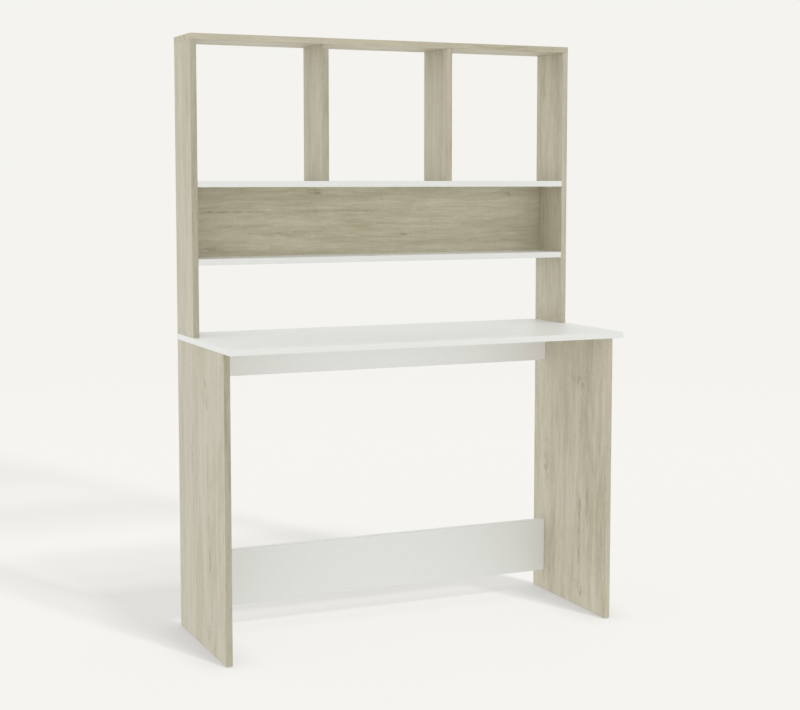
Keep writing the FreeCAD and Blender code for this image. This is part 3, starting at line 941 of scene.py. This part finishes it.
class Shaper:
    """Builds a closed mesh from loops of points, in millimetres round a fitting's own axis, +Z."""

    def __init__(self) -> None:
        """Starts with nothing."""
        self.mesh = bmesh.new()

    def loop(self, points: Profile, height: float) -> Loop:
        """A closed loop of points at one height."""
        return [self.mesh.verts.new((across, up, height)) for across, up in points]

    def skirt(self, *loops: Loop) -> Loop:
        """Joins loops of one count in turn.

        Args:
            loops: The loops.

        Returns:
            The last of them.
        """
        for first, second in zip(loops, loops[1:]):
            for step in range(len(first)):
                ahead = (step + 1) % len(first)
                self.mesh.faces.new((first[step], first[ahead], second[ahead], second[step]))
        return loops[-1]

    def turn(
        self, profile: Profile, sides: int, swell: Swell = lambda angle, height: 0.0
    ) -> tuple[Loop, Loop]:
        """Turns a profile.

        Args:
            profile: Its radii and heights.
            sides: How many points each round has.
            swell: What is added to a radius at an angle and height.

        Returns:
            Its first and its last loop.
        """
        loops = []
        angles = [step * math.tau / sides for step in range(sides)]
        for radius, height in profile:
            reach = [(radius + swell(angle, height), angle) for angle in angles]
            points = [(out * math.cos(angle), out * math.sin(angle)) for out, angle in reach]
            loops.append(self.loop(points, height))
        return loops[0], self.skirt(*loops)

    def lid(self, *loops: Loop) -> None:
        """Closes loops with a face each."""
        for loop in loops:
            self.mesh.faces.new(loop)

    def plate(self, outer: Loop, inner: Loop) -> None:
        """Fills the flat between a loop and one inside it.

        Args:
            outer: The outer loop.
            inner: The inner loop.
        """
        edges = []
        for loop in (outer, inner):
            for pair in zip(loop, loop[1:] + loop[:1]):
                edges.append(self.mesh.edges.get(pair) or self.mesh.edges.new(pair))
        bmesh.ops.triangle_fill(self.mesh, use_beauty=True, use_dissolve=False, edges=edges)

    def done(self) -> BMesh:
        """The finished mesh, with its faces looking out."""
        bmesh.ops.recalc_face_normals(self.mesh, faces=self.mesh.faces)
        return self.mesh

    def bar(self, *turned: object) -> BMesh:
        """A finished bar: a turned profile, by what turn takes, with both its ends closed."""
        self.lid(*self.turn(*turned))
        return self.done()


def polygon(corners: int, radius: float) -> Profile:
    """The corners of an even polygon."""
    angles = [step * math.tau / corners for step in range(corners)]
    return [(radius * math.cos(angle), radius * math.sin(angle)) for angle in angles]


def cross(length: float, width: float) -> Profile:
    """Draws an even cross.

    Args:
        length: From tip to tip.
        width: The width of its arms.

    Returns:
        Its corners in turn.
    """
    far, near = length / 2, width / 2
    points = [(far, -near), (far, near), (near, near)]
    for _ in range(3):
        points += [(-y, x) for x, y in points[-3:]]
    return points


def shrunk(points: Profile, share: float) -> Profile:
    """An outline drawn smaller about its middle."""
    return [(x * share, y * share) for x, y in points]


def along_axis(axis: int, length: float = 1.0) -> Vector:
    """A vector along one of the axes."""
    return Vector([length if part == axis else 0.0 for part in range(3)])


@dataclass(frozen=True)
class Solid:
    """One solid of a carried-over node: where its points are, in metres."""

    points: tuple[Vector, ...]

    @cached_property
    def low(self) -> Vector:
        """Its low corner."""
        return Vector([min(parts) for parts in zip(*self.points)])

    @cached_property
    def high(self) -> Vector:
        """Its high corner."""
        return Vector([max(parts) for parts in zip(*self.points)])

    @cached_property
    def middle(self) -> Vector:
        """The middle between its corners."""
        return (self.low + self.high) / 2

    @cached_property
    def axis(self) -> int:
        """The axis that it is turned round: the one whose length is unlike the other two."""
        size = self.high - self.low
        return max(range(3), key=lambda axis: abs(3 * size[axis] - sum(size)))

    def off_axis(self, point: Vector) -> Vector:
        """The way from its axis to a point."""
        away = point - self.middle
        return away - along_axis(self.axis, away[self.axis])

    def lean(self, chosen: Sequence[Vector]) -> float:
        """1 if some of its points lie mostly at its high end, -1 if at its low end."""
        middle = self.middle[self.axis]
        return math.copysign(1.0, sum(point[self.axis] - middle for point in chosen))


def solids_of(node: str, weld: float = 1e-6) -> list[Solid]:
    """Takes a carried-over node apart.

    Args:
        node: The node.
        weld: How near two points are that count as one, in metres.

    Returns:
        Its separate solids.
    """
    mesh = bmesh.new()
    mesh.from_mesh(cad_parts[node].data)
    bmesh.ops.remove_doubles(mesh, verts=mesh.verts, dist=weld)
    waiting = set(mesh.verts)
    found = []
    for start in mesh.verts:
        if start not in waiting:
            continue
        waiting.discard(start)
        reached = [start]
        for point in reached:
            near = [edge.other_vert(point) for edge in point.link_edges]
            fresh = [other for other in near if other in waiting]
            waiting.difference_update(fresh)
            reached.extend(fresh)
        found.append(Solid(tuple(point.co.copy() for point in reached)))
    mesh.free()
    return found


class Fitting:
    """A fitting of one kind, shaped once and set in each place that its nodes give."""

    made: ClassVar[str] = ""
    foot: ClassVar[float] = 0.0
    wide_end_up: ClassVar[bool] = True
    wide_share: ClassVar[float] = 0.85
    sharp_angle: ClassVar[float] = 32.0

    def shape(self) -> BMesh:
        """The fitting's mesh in millimetres, along +Z."""
        raise NotImplementedError

    def way_up(self, solid: Solid) -> float:
        """Finds the wide end of a solid.

        Args:
            solid: The solid.

        Returns:
            1 if the fitting's own +Z looks up the solid's axis, or else -1.
        """
        reach = [(solid.off_axis(point).length, point) for point in solid.points]
        least = self.wide_share * max(length for length, _ in reach)
        lean = solid.lean([point for length, point in reach if length > least])
        return lean if self.wide_end_up else -lean

    def way_round(self, solid: Solid) -> Vector:
        """Which way the fitting's own +X looks."""
        return along_axis(1 if solid.axis == 0 else 0)

    def stand(self, solid: Solid) -> Matrix:
        """Finds where the fitting stands in place of a solid.

        Args:
            solid: The solid.

        Returns:
            The move from the fitting's own millimetres to the desk's metres.
        """
        axis, way = solid.axis, self.way_up(solid)
        up, side = along_axis(axis, way), self.way_round(solid)
        origin = solid.middle.copy()
        origin[axis] = solid.low[axis] if way > 0 else solid.high[axis]
        turned = Matrix((side, up.cross(side), up)).transposed().to_4x4()
        lifted = Matrix.Translation((0.0, 0.0, -self.foot))
        return Matrix.Translation(origin) @ turned @ Matrix.Scale(MM, 4) @ lifted

    def build(self, node: str, slot: str, material: Material) -> None:
        """Sets the fitting in every place of a node, as one piece that stands for it.

        Args:
            node: The node.
            slot: Not used.
            material: Its material.
        """
        whole = bmesh.new()
        single = keep_mesh(node + "_single", self.shape())
        places = solids_of(node)
        for solid in places:
            start = len(whole.verts)
            whole.from_mesh(single)
            whole.verts.ensure_lookup_table()
            bmesh.ops.transform(whole, matrix=self.stand(solid), verts=whole.verts[start:])
        bpy.data.meshes.remove(single)
        mesh = keep_mesh(f"{node}_{self.made}", whole)
        mesh.polygons.foreach_set("use_smooth", [True] * len(mesh.polygons))
        mesh.set_sharp_from_angle(angle=math.radians(self.sharp_angle))
        mesh.materials.append(material)
        piece = put_in_scene(mesh.name, mesh)
        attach(piece, ROOT)
        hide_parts(node)
        log.info("made %s in %d places", piece.name, len(places))


@dataclass(frozen=True)
class CamCap(Fitting):
    """A push-in cap over a cam nut: a low dome, a ring groove, a prising notch and a cross plug."""

    made: ClassVar[str] = "moulded"
    foot: ClassVar[float] = -2.4
    radius: float = 8.5
    rim: float = 0.4
    wall_share: float = 0.6
    crown: float = 1.0
    dome_shares: tuple[float, ...] = (0.985, 0.955, 0.91, 0.85, 0.78, 0.70)
    dome_power: int = 6
    dome_fullness: float = 0.97
    groove: float = 0.13
    groove_steps: Profile = ((0.66, 0.0), (0.645, 1.0), (0.615, 1.0), (0.60, 0.0))
    lip: float = 0.006
    slope_share: float = 0.4
    middle_share: float = 0.15
    notch_depth: float = 0.8
    notch_angle: float = 0.20
    notch_rise: float = 1.8
    blade_length: float = 8.8
    blade_width: float = 1.4
    lead: float = 0.4
    taper: float = 0.95
    sides: int = 72

    def profile(self) -> Profile:
        """Draws the dome.

        Returns:
            Radii and heights from the edge over the dome to its middle.
        """
        rise = (self.crown - self.rim) * self.dome_fullness
        steps = [(1.0, 0.0), (1.0, self.rim * self.wall_share)]
        for share in self.dome_shares:
            steps.append((share, self.rim + rise * math.sqrt(1 - share**self.dome_power)))
        lip = steps[-1][1] + self.lip
        steps += [(share, lip - sunk * self.groove) for share, sunk in self.groove_steps]
        steps += [(self.slope_share, self.crown - self.lip), (self.middle_share, self.crown)]
        return [(self.radius * share, height) for share, height in steps]

    def notch(self, angle: float, height: float) -> float:
        """Cuts the prising notch into the edge.

        Args:
            angle: The angle round the cap.
            height: The height on it.

        Returns:
            How far the notch goes in there, below 0.
        """
        turn = min(angle, math.tau - angle)
        low = max(0.0, 1.0 - height / (self.rim * self.notch_rise))
        return -self.notch_depth * low * max(0.0, 1.0 - turn / self.notch_angle)

    def outline(self) -> Profile:
        """The plug's outline, a cross of blades."""
        return cross(self.blade_length, self.blade_width)

    def shape(self) -> BMesh:
        """Shapes the dome over its plug, which is slightly tapered at its tip.

        Returns:
            The mesh.
        """
        shaper = Shaper()
        edge, middle = shaper.turn(self.profile(), self.sides, self.notch)
        outline = self.outline()
        root = shaper.loop(outline, 0.0)
        straight = shaper.loop(outline, self.foot + self.lead)
        tip = shaper.loop(shrunk(outline, self.taper), self.foot)
        shaper.lid(middle, shaper.skirt(root, straight, tip))
        shaper.plate(edge, root)
        return shaper.done()


@dataclass(frozen=True)
class ScrewCap(CamCap):
    """A push-in cap over a screw's head, with a plug for its hexagon socket."""

    foot: ClassVar[float] = -2.6
    radius: float = 6.5
    plug: float = 2.1
    lead: float = 0.6
    taper: float = 6 / 7
    sides: int = 60

    def outline(self) -> Profile:
        """The plug's outline, a hexagon."""
        return polygon(HEXAGON, self.plug)


@dataclass(frozen=True)
class CamNut(Fitting):
    """A die-cast cam nut: a drum with a driver's cross and the cam bolt's way in from +X."""

    made: ClassVar[str] = "cast"
    radius: float = 7.4
    height: float = 12.0
    chamfer: float = 0.5
    rim: float = 0.5
    sink: float = 0.2
    slot_length: float = 9.0
    slot_width: float = 1.6
    slot_depth: float = 2.4
    slot_taper: float = 0.9
    way_in: float = 3.6
    way_in_height: float = 5.0
    way_in_start: float = -1.6
    way_in_past: float = 1.0
    way_in_sides: int = 40
    weld: float = 0.004
    sides: int = 64
    slot_tip: tuple[float, float] = (4.4, 4.7)
    wall: float = 7.0
    end_margin: float = 0.3

    def drum(self) -> BMesh:
        """Shapes the drum with its cross, before the way in is cut.

        Returns:
            The mesh.
        """
        shaper = Shaper()
        top, narrow = self.height, self.radius - self.chamfer
        face = narrow - self.rim
        wall = [(self.radius, self.chamfer), (self.radius, top - self.chamfer)]
        end = [(narrow, top), (face, top), (face - self.sink, top - self.sink)]
        base, dish = shaper.turn([(narrow, 0.0), *wall, *end], self.sides)
        outline = cross(self.slot_length, self.slot_width)
        mouth = shaper.loop(outline, top - self.sink)
        floor = shaper.loop(shrunk(outline, self.slot_taper), top - self.slot_depth)
        shaper.plate(dish, mouth)
        shaper.lid(base, shaper.skirt(mouth, floor))
        return shaper.done()

    def cutter(self) -> BMesh:
        """Shapes what is cut away for the bolt's head.

        Returns:
            The mesh.
        """
        ends = (self.way_in_start, self.radius + self.way_in_past)
        bar = Shaper().bar([(self.way_in, end) for end in ends], self.way_in_sides)
        raised = Matrix.Translation((0.0, 0.0, self.way_in_height))
        turned = raised @ Matrix.Rotation(math.pi / 2, 4, "Y")
        bmesh.ops.transform(bar, matrix=turned, verts=bar.verts)
        return bar

    def shape(self) -> BMesh:
        """Shapes the drum with the way in cut from its side.

        Returns:
            The mesh.
        """
        drum = put_in_scene("cam_drum", keep_mesh("cam_drum", self.drum()))
        cutter = put_in_scene("cam_way_in", keep_mesh("cam_way_in", self.cutter()))
        cut = drum.modifiers.new("way_in", "BOOLEAN")
        cut.operation = "DIFFERENCE"
        cut.solver = "EXACT"
        cut.object = cutter
        seen = drum.evaluated_get(bpy.context.evaluated_depsgraph_get())
        result = bmesh.new()
        result.from_mesh(seen.to_mesh())
        bmesh.ops.remove_doubles(result, verts=result.verts, dist=self.weld)
        bmesh.ops.dissolve_degenerate(result, dist=self.weld, edges=result.edges)
        seen.to_mesh_clear()
        for used in (drum.data, cutter.data):
            bpy.data.meshes.remove(used)
        return result

    def way_up(self, solid: Solid) -> float:
        """Finds the end with the driver's cross: 1 if it looks up the solid's axis, or else -1."""
        least, most = (end * MM for end in self.slot_tip)
        return solid.lean([p for p in solid.points if least < solid.off_axis(p).length < most])

    def way_round(self, solid: Solid) -> Vector:
        """Finds the bolt's way in, where the drum's wall is broken.

        Args:
            solid: The solid.

        Returns:
            The way that it looks.
        """
        axis, margin = solid.axis, self.end_margin * MM
        low, high = solid.low[axis] + margin, solid.high[axis] - margin
        ways = [solid.off_axis(point) for point in solid.points if low < point[axis] < high]
        broken = [way for way in ways if way.length > self.wall * MM]
        out = sum(broken, Vector((0.0, 0.0, 0.0)))
        most = max(range(3), key=lambda part: abs(out[part]))
        return along_axis(most, math.copysign(1.0, out[most]))


@dataclass(frozen=True)
class Threaded(Fitting):
    """A fitting with a screw thread on part of its length."""

    made: ClassVar[str] = "threaded"
    wide_end_up: ClassVar[bool] = False
    flank: ClassVar[float] = 0.36
    root: float
    crest: float
    pitch: float
    pitch_steps: int
    start: float
    end: float
    sides: int = 24

    def rounds(self) -> Profile:
        """Cuts the threaded length into short rounds, so that the thread can be drawn on it.

        Returns:
            Their radii and heights.
        """
        length = self.end - self.start
        count = round(length * self.pitch_steps / self.pitch)
        return [(self.root, self.start + length * step / count) for step in range(count + 1)]

    def thread(self, angle: float, height: float) -> float:
        """Draws the thread, which runs out at both its ends.

        Args:
            angle: The angle round the fitting.
            height: The height on it.

        Returns:
            How far the thread stands out there.
        """
        phase = (height / self.pitch - angle / math.tau) % 1.0
        crest = max(0.0, 1.0 - abs(phase - 0.5) / self.flank)
        inside = min(height - self.start, self.end - height) / self.pitch
        return (self.crest - self.root) * crest * min(1.0, max(0.0, inside))


@dataclass(frozen=True)
class CamBolt(Threaded):
    """A cam bolt: a thread for the face board, then collar, shank, neck and head."""

    foot: ClassVar[float] = -10.5
    root: float = 1.8
    crest: float = 2.4
    pitch: float = 1.75
    pitch_steps: int = 7
    start: float = -9.9
    end: float = -0.3
    tip: float = 1.0
    collar: Profile = ((1.8, 0.0), (3.4, 0.0), (3.7, 0.3), (3.7, 1.3), (3.4, 1.6))
    shank: Profile = ((3.0, 1.6), (3.0, 18.1), (2.6, 18.5), (2.0, 18.5), (2.0, 22.5))
    head: Profile = ((3.2, 22.5), (3.5, 22.9), (3.5, 24.4), (3.2, 25.0), (2.4, 25.4), (1.2, 25.5))

    def shape(self) -> BMesh:
        """The bolt, turned in one."""
        profile = [(self.tip, self.foot), *self.rounds(), *self.collar, *self.shank, *self.head]
        return Shaper().bar(profile, self.sides, self.thread)


@dataclass(frozen=True)
class CaseScrew(Threaded):
    """A one-piece connecting screw with a sunk hexagon socket and a coarse thread."""

    foot: ClassVar[float] = 0.5
    root: float = 1.75
    crest: float = 2.4
    pitch: float = 3.0
    pitch_steps: int = 8
    start: float = 15.4
    end: float = 46.6
    head: Profile = ((4.6, 0.5), (4.9, 0.8), (4.9, 2.5))
    shank: Profile = ((3.4, 4.0), (3.4, 14.6), (1.75, 15.2))
    point: Profile = ((1.5, 47.4), (0.5, 50.0))
    socket: float = 2.3
    socket_depth: float = 2.6

    def shape(self) -> BMesh:
        """Turns the screw in one round its socket.

        Returns:
            The mesh.
        """
        shaper = Shaper()
        profile = [*self.head, *self.shank, *self.rounds(), *self.point]
        head, tip = shaper.turn(profile, self.sides, self.thread)
        outline = polygon(HEXAGON, self.socket)
        mouth = shaper.loop(outline, self.foot)
        floor = shaper.loop(outline, self.foot + self.socket_depth)
        shaper.plate(head, mouth)
        shaper.lid(tip, shaper.skirt(mouth, floor))
        return shaper.done()


@dataclass(frozen=True)
class Dowel(Fitting):
    """A beech dowel, fluted for the glue and chamfered at both ends."""

    made: ClassVar[str] = "fluted"
    foot: ClassVar[float] = -9.5
    radius: float = 3.9
    length: float = 30.0
    chamfer: float = 1.0
    flutes: int = 20
    flute_depth: float = 0.32
    flute_start: float = 0.4
    flute_end: float = 0.9
    flute_points: int = 4

    def flute(self, angle: float, height: float) -> float:
        """How far the flutes cut in at an angle, the same at every height."""
        phase = (angle * self.flutes / math.tau) % 1.0
        return -self.flute_depth if self.flute_start < phase < self.flute_end else 0.0

    def shape(self) -> BMesh:
        """Shapes the dowel with its flutes.

        Returns:
            The mesh.
        """
        tip, far = self.radius - self.chamfer, self.foot + self.length
        side = [(self.radius, self.foot + self.chamfer), (self.radius, far - self.chamfer)]
        profile = [(tip, self.foot), *side, (tip, far)]
        return Shaper().bar(profile, self.flute_points * self.flutes, self.flute)


@dataclass(frozen=True)
class FloorGlide(Fitting):
    """A nail-on glide: a pad with a rounded foot, sunk and stepped through for its nail."""

    made: ClassVar[str] = "moulded"
    pad: Profile = ((1.0, 2.5), (6.2, 2.5), (6.5, 2.2), (6.5, 1.3))
    sole: Profile = ((6.35, 0.8), (6.05, 0.4), (5.5, 0.1), (4.9, 0.0))
    recess: Profile = ((3.3, 0.0), (2.9, 0.12), (2.6, 0.4), (2.6, 1.4), (1.0, 1.4))
    sides: int = 48

    def way_up(self, solid: Solid) -> float:
        """A glide always stands foot down."""
        return 1.0

    def shape(self) -> BMesh:
        """Turns the pad as a ring round its hole.

        Returns:
            The mesh.
        """
        shaper = Shaper()
        first, last = shaper.turn([*self.pad, *self.sole, *self.recess], self.sides)
        shaper.skirt(last, first)
        return shaper.done()


@dataclass(frozen=True)
class GlideNail(FloorGlide):
    """A glide's nail: a flat head, grip rings under it and a drawn point."""

    made: ClassVar[str] = "drawn"
    foot: ClassVar[float] = 0.6
    head: Profile = ((1.6, 0.6), (2.3, 0.68), (2.5, 0.85), (2.5, 1.3), (2.4, 1.4), (0.9, 1.4))
    ring: Profile = ((0.9, 2.6), (0.78, 2.75))
    ring_rises: tuple[float, ...] = (0.0, 0.5, 1.0, 1.5)
    shank: Profile = ((0.9, 4.7), (0.9, 14.1), (0.3, 16.6))
    sides: int = 20

    def shape(self) -> BMesh:
        """The nail, turned in one."""
        rings = [(out, height + rise) for rise in self.ring_rises for out, height in self.ring]
        return Shaper().bar([*self.head, *rings, *self.shank], self.sides)


@dataclass(frozen=True)
class Fittings:
    """The flat-pack fittings that hold the boards together, by the end of their nodes' names."""

    finishes: ClassVar[Mapping[str, Finish]] = {
        "oak_cap": MouldedPlastic(Colour(202, 194, 170), Colour(192, 183, 158)),
        "white_cap": MouldedPlastic(),
        "zinc_casting": Metal(
            Colour(176, 177, 175),
            Colour(150, 151, 150),
            roughness=0.42,
            relief=0.00004,
            working=Cloud((900.0,) * 3, 3.0, 0.6, 0.3, 0.7),
        ),
        "plated_steel": Metal(
            Colour(206, 208, 208),
            Colour(188, 190, 190),
            roughness=0.26,
            relief=0.00001,
            working=Cloud((300.0, 300.0, 2600.0), 3.0, 0.6, 0.3, 0.7),
        ),
        "beech": TurnedBeech(),
        "glide_plastic": MouldedPlastic(Colour(206, 203, 194), Colour(192, 189, 179), 0.5),
    }
    kinds: tuple[tuple[str, Fitting, str], ...] = (
        ("cam_caps", CamCap(), "oak_cap"),
        ("screw_caps", ScrewCap(), "oak_cap"),
        ("cam_nuts", CamNut(), "zinc_casting"),
        ("cam_bolts", CamBolt(), "plated_steel"),
        ("dowels", Dowel(), "beech"),
        ("screws", CaseScrew(), "plated_steel"),
        ("floor_glides", FloorGlide(), "glide_plastic"),
        ("glide_nails", GlideNail(), "plated_steel"),
    )
    white_caps: tuple[str, ...] = ("shelf_cam_caps", "divider_screw_caps")

    def build(self) -> None:
        """Makes every fitting and dresses it."""
        materials = {slot: finish.material(slot) for slot, finish in self.finishes.items()}
        for node in sorted(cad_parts):
            for end, fitting, slot in self.kinds:
                if node.endswith(end):
                    chosen = "white_cap" if node in self.white_caps else slot
                    fitting.build(node, chosen, materials[chosen])


def seen_ray(tree: NodeTree) -> Signal:
    """Tells looking at a surface from being lit by it.

    Args:
        tree: The tree to work in.

    Returns:
        1 for a ray from the camera, straight or by way of a reflection, and 0 for any other.
    """
    path = add_node(tree, "LightPath").outputs
    kinds = ("Is Camera Ray", "Is Glossy Ray", "Is Transmission Ray")
    straight, mirrored, through = (Signal(path[kind]) for kind in kinds)
    return straight.sum("MAXIMUM", mirrored.sum("MAXIMUM", through))


@dataclass(frozen=True)
class Key:
    """A broad lamp on the floor alone, which draws the desk's shadow there."""

    name: str
    strength: float
    angle: float
    travel: tuple[float, float, float]

    def build(self, lit: Collection) -> None:
        """Hangs the lamp.

        Args:
            lit: The only things that it lights.
        """
        key = bpy.data.lights.new(self.name, "SUN")
        key.energy = self.strength
        key.angle = math.radians(self.angle)
        lamp = put_in_scene(self.name, key)
        lamp.rotation_mode = "QUATERNION"
        lamp.rotation_quaternion = Vector(self.travel).to_track_quat("-Z", "Y")
        lamp.light_linking.receiver_collection = lit
        log.info("hung %s", self.name)


@dataclass(frozen=True)
class Studio:
    """A plain pale floor and backdrop, even light all round, and keys for the floor's shadow."""

    backdrop: Colour = Colour(244, 243, 239)
    floor_colour: Colour = Colour(176, 175, 172)
    floor_glow: float = 0.96
    floor_evenness: float = 0.68
    floor_radius: float = 9.0
    floor_sides: int = 96
    fade_start: float = 2.6
    fade_end: float = 6.0
    # A painted contact shadow on the floor: how far its probe reaches, which way it leans, how deep
    # the shadow goes and how many samples it takes.
    painted_shadow_reach: float = 0.10
    painted_shadow_lean: tuple[float, float, float] = (0.88, -0.36, 0.31)
    painted_shadow_depth: float = 0.34
    painted_shadow_samples: int = 12
    ambient: float = 0.905
    overhead: float = 0.08
    keys: tuple[Key, ...] = (
        Key("low_key", 4.4, 6.0, (-0.39, 1.0, -0.43)),
        Key("high_key", 2.6, 8.0, (-0.30, 1.0, -1.70)),
    )
    camera_place: tuple[float, float, float] = (-1.59609, -3.60306, 1.13321)
    camera_yaw: float = 23.86
    camera_pitch: float = 5.06
    camera_lens: float = 70.80
    camera_sensor: float = 36.0
    camera_shift: float = -0.045

    def build(self) -> None:
        """Builds the floor with its lamps, the light and the camera."""
        self.build_floor()
        self.build_world()
        self.build_camera()

    def build_floor(self) -> None:
        """Lays a wide floor that fades into the backdrop, and hangs the lamps for it alone."""
        shape = bmesh.new()
        size = {"segments": self.floor_sides, "radius": self.floor_radius}
        bmesh.ops.create_circle(shape, cap_ends=True, **size)
        floor = put_in_scene("floor", keep_mesh("floor", shape))
        floor.data.materials.append(self.floor_material())
        log.info("laid the floor")
        floor_only = bpy.data.collections.new("floor_only")
        floor_only.objects.link(floor)
        for key in self.keys:
            key.build(floor_only)

    def floor_material(self) -> Material:
        """Makes the floor's material: even where it is looked at, with a painted shadow close to the
        feet.

        Returns:
            The material.
        """
        skin = Skin("floor")
        skin.set({"Base Color": self.floor_colour, "Roughness": 1.0, "Specular IOR Level": 0.0})
        # Painted shadow: the backdrop's glow is dimmed where an occlusion probe, leaning towards +X,
        # finds the desk close by.
        contact = {"Distance": self.painted_shadow_reach, "Normal": self.painted_shadow_lean}
        nearby = skin.place.made("AmbientOcclusion", contact, "AO", samples=self.painted_shadow_samples)
        painted_shadow_kept = nearby * self.painted_shadow_depth + (1.0 - self.painted_shadow_depth)
        plain = painted_shadow_kept.made("Emission", {"Color": self.backdrop, "Strength": painted_shadow_kept})
        even = Signal(skin.shader.outputs[0]).blended(self.floor_evenness, plain)
        glow = painted_shadow_kept.made("Emission", {"Color": WHITE_LIGHT, "Strength": self.floor_glow})
        far = skin.place.sum("LENGTH", output="Value").eased(self.fade_start, self.fade_end)
        shown = glow.blended(seen_ray(skin.tree), even)
        faded = shown.blended(far, shown.made("BsdfTransparent", {}))
        feed(skin.tree.nodes["Material Output"].inputs["Surface"], faded)
        return skin.material

    def build_world(self) -> None:
        """Sets soft light from all round, behind a plain backdrop."""
        world = bpy.data.worlds.new("studio")
        bpy.context.scene.world = world
        world.use_nodes = True
        tree = world.node_tree
        tree.nodes.clear()
        height = Signal(add_node(tree, "TexCoord").outputs["Generated"]).parts()[2]
        strength = height * self.overhead + self.ambient
        soft = height.made("Background", {"Color": WHITE_LIGHT, "Strength": strength})
        plain = height.made("Background", {"Color": self.backdrop, "Strength": 1.0})
        add_node(tree, "OutputWorld", {"Surface": soft.blended(seen_ray(tree), plain)})
        log.info("set the soft light")

    def build_camera(self) -> None:
        """Sets the camera at the photograph's viewing angle."""
        camera = bpy.data.cameras.new("camera")
        camera.lens = self.camera_lens
        camera.sensor_width = self.camera_sensor
        camera.shift_y = self.camera_shift
        camera.dof.use_dof = False
        stand = put_in_scene("camera", camera)
        stand.location = self.camera_place
        turns = (90.0 - self.camera_pitch, 0.0, -self.camera_yaw)
        stand.rotation_euler = [math.radians(turn) for turn in turns]
        bpy.context.scene.camera = stand
        log.info("set the camera")


def main() -> None:
    """Dresses the desk and sets it in the studio."""
    logging.basicConfig(level=logging.INFO, format="%(name)s: %(message)s")
    bpy.context.scene.view_settings.view_transform = "Standard"
    DeskFrame().dress()
    Hutch().dress()
    Fittings().build()
    Studio().build()


if __name__ == "__main__":
    main()
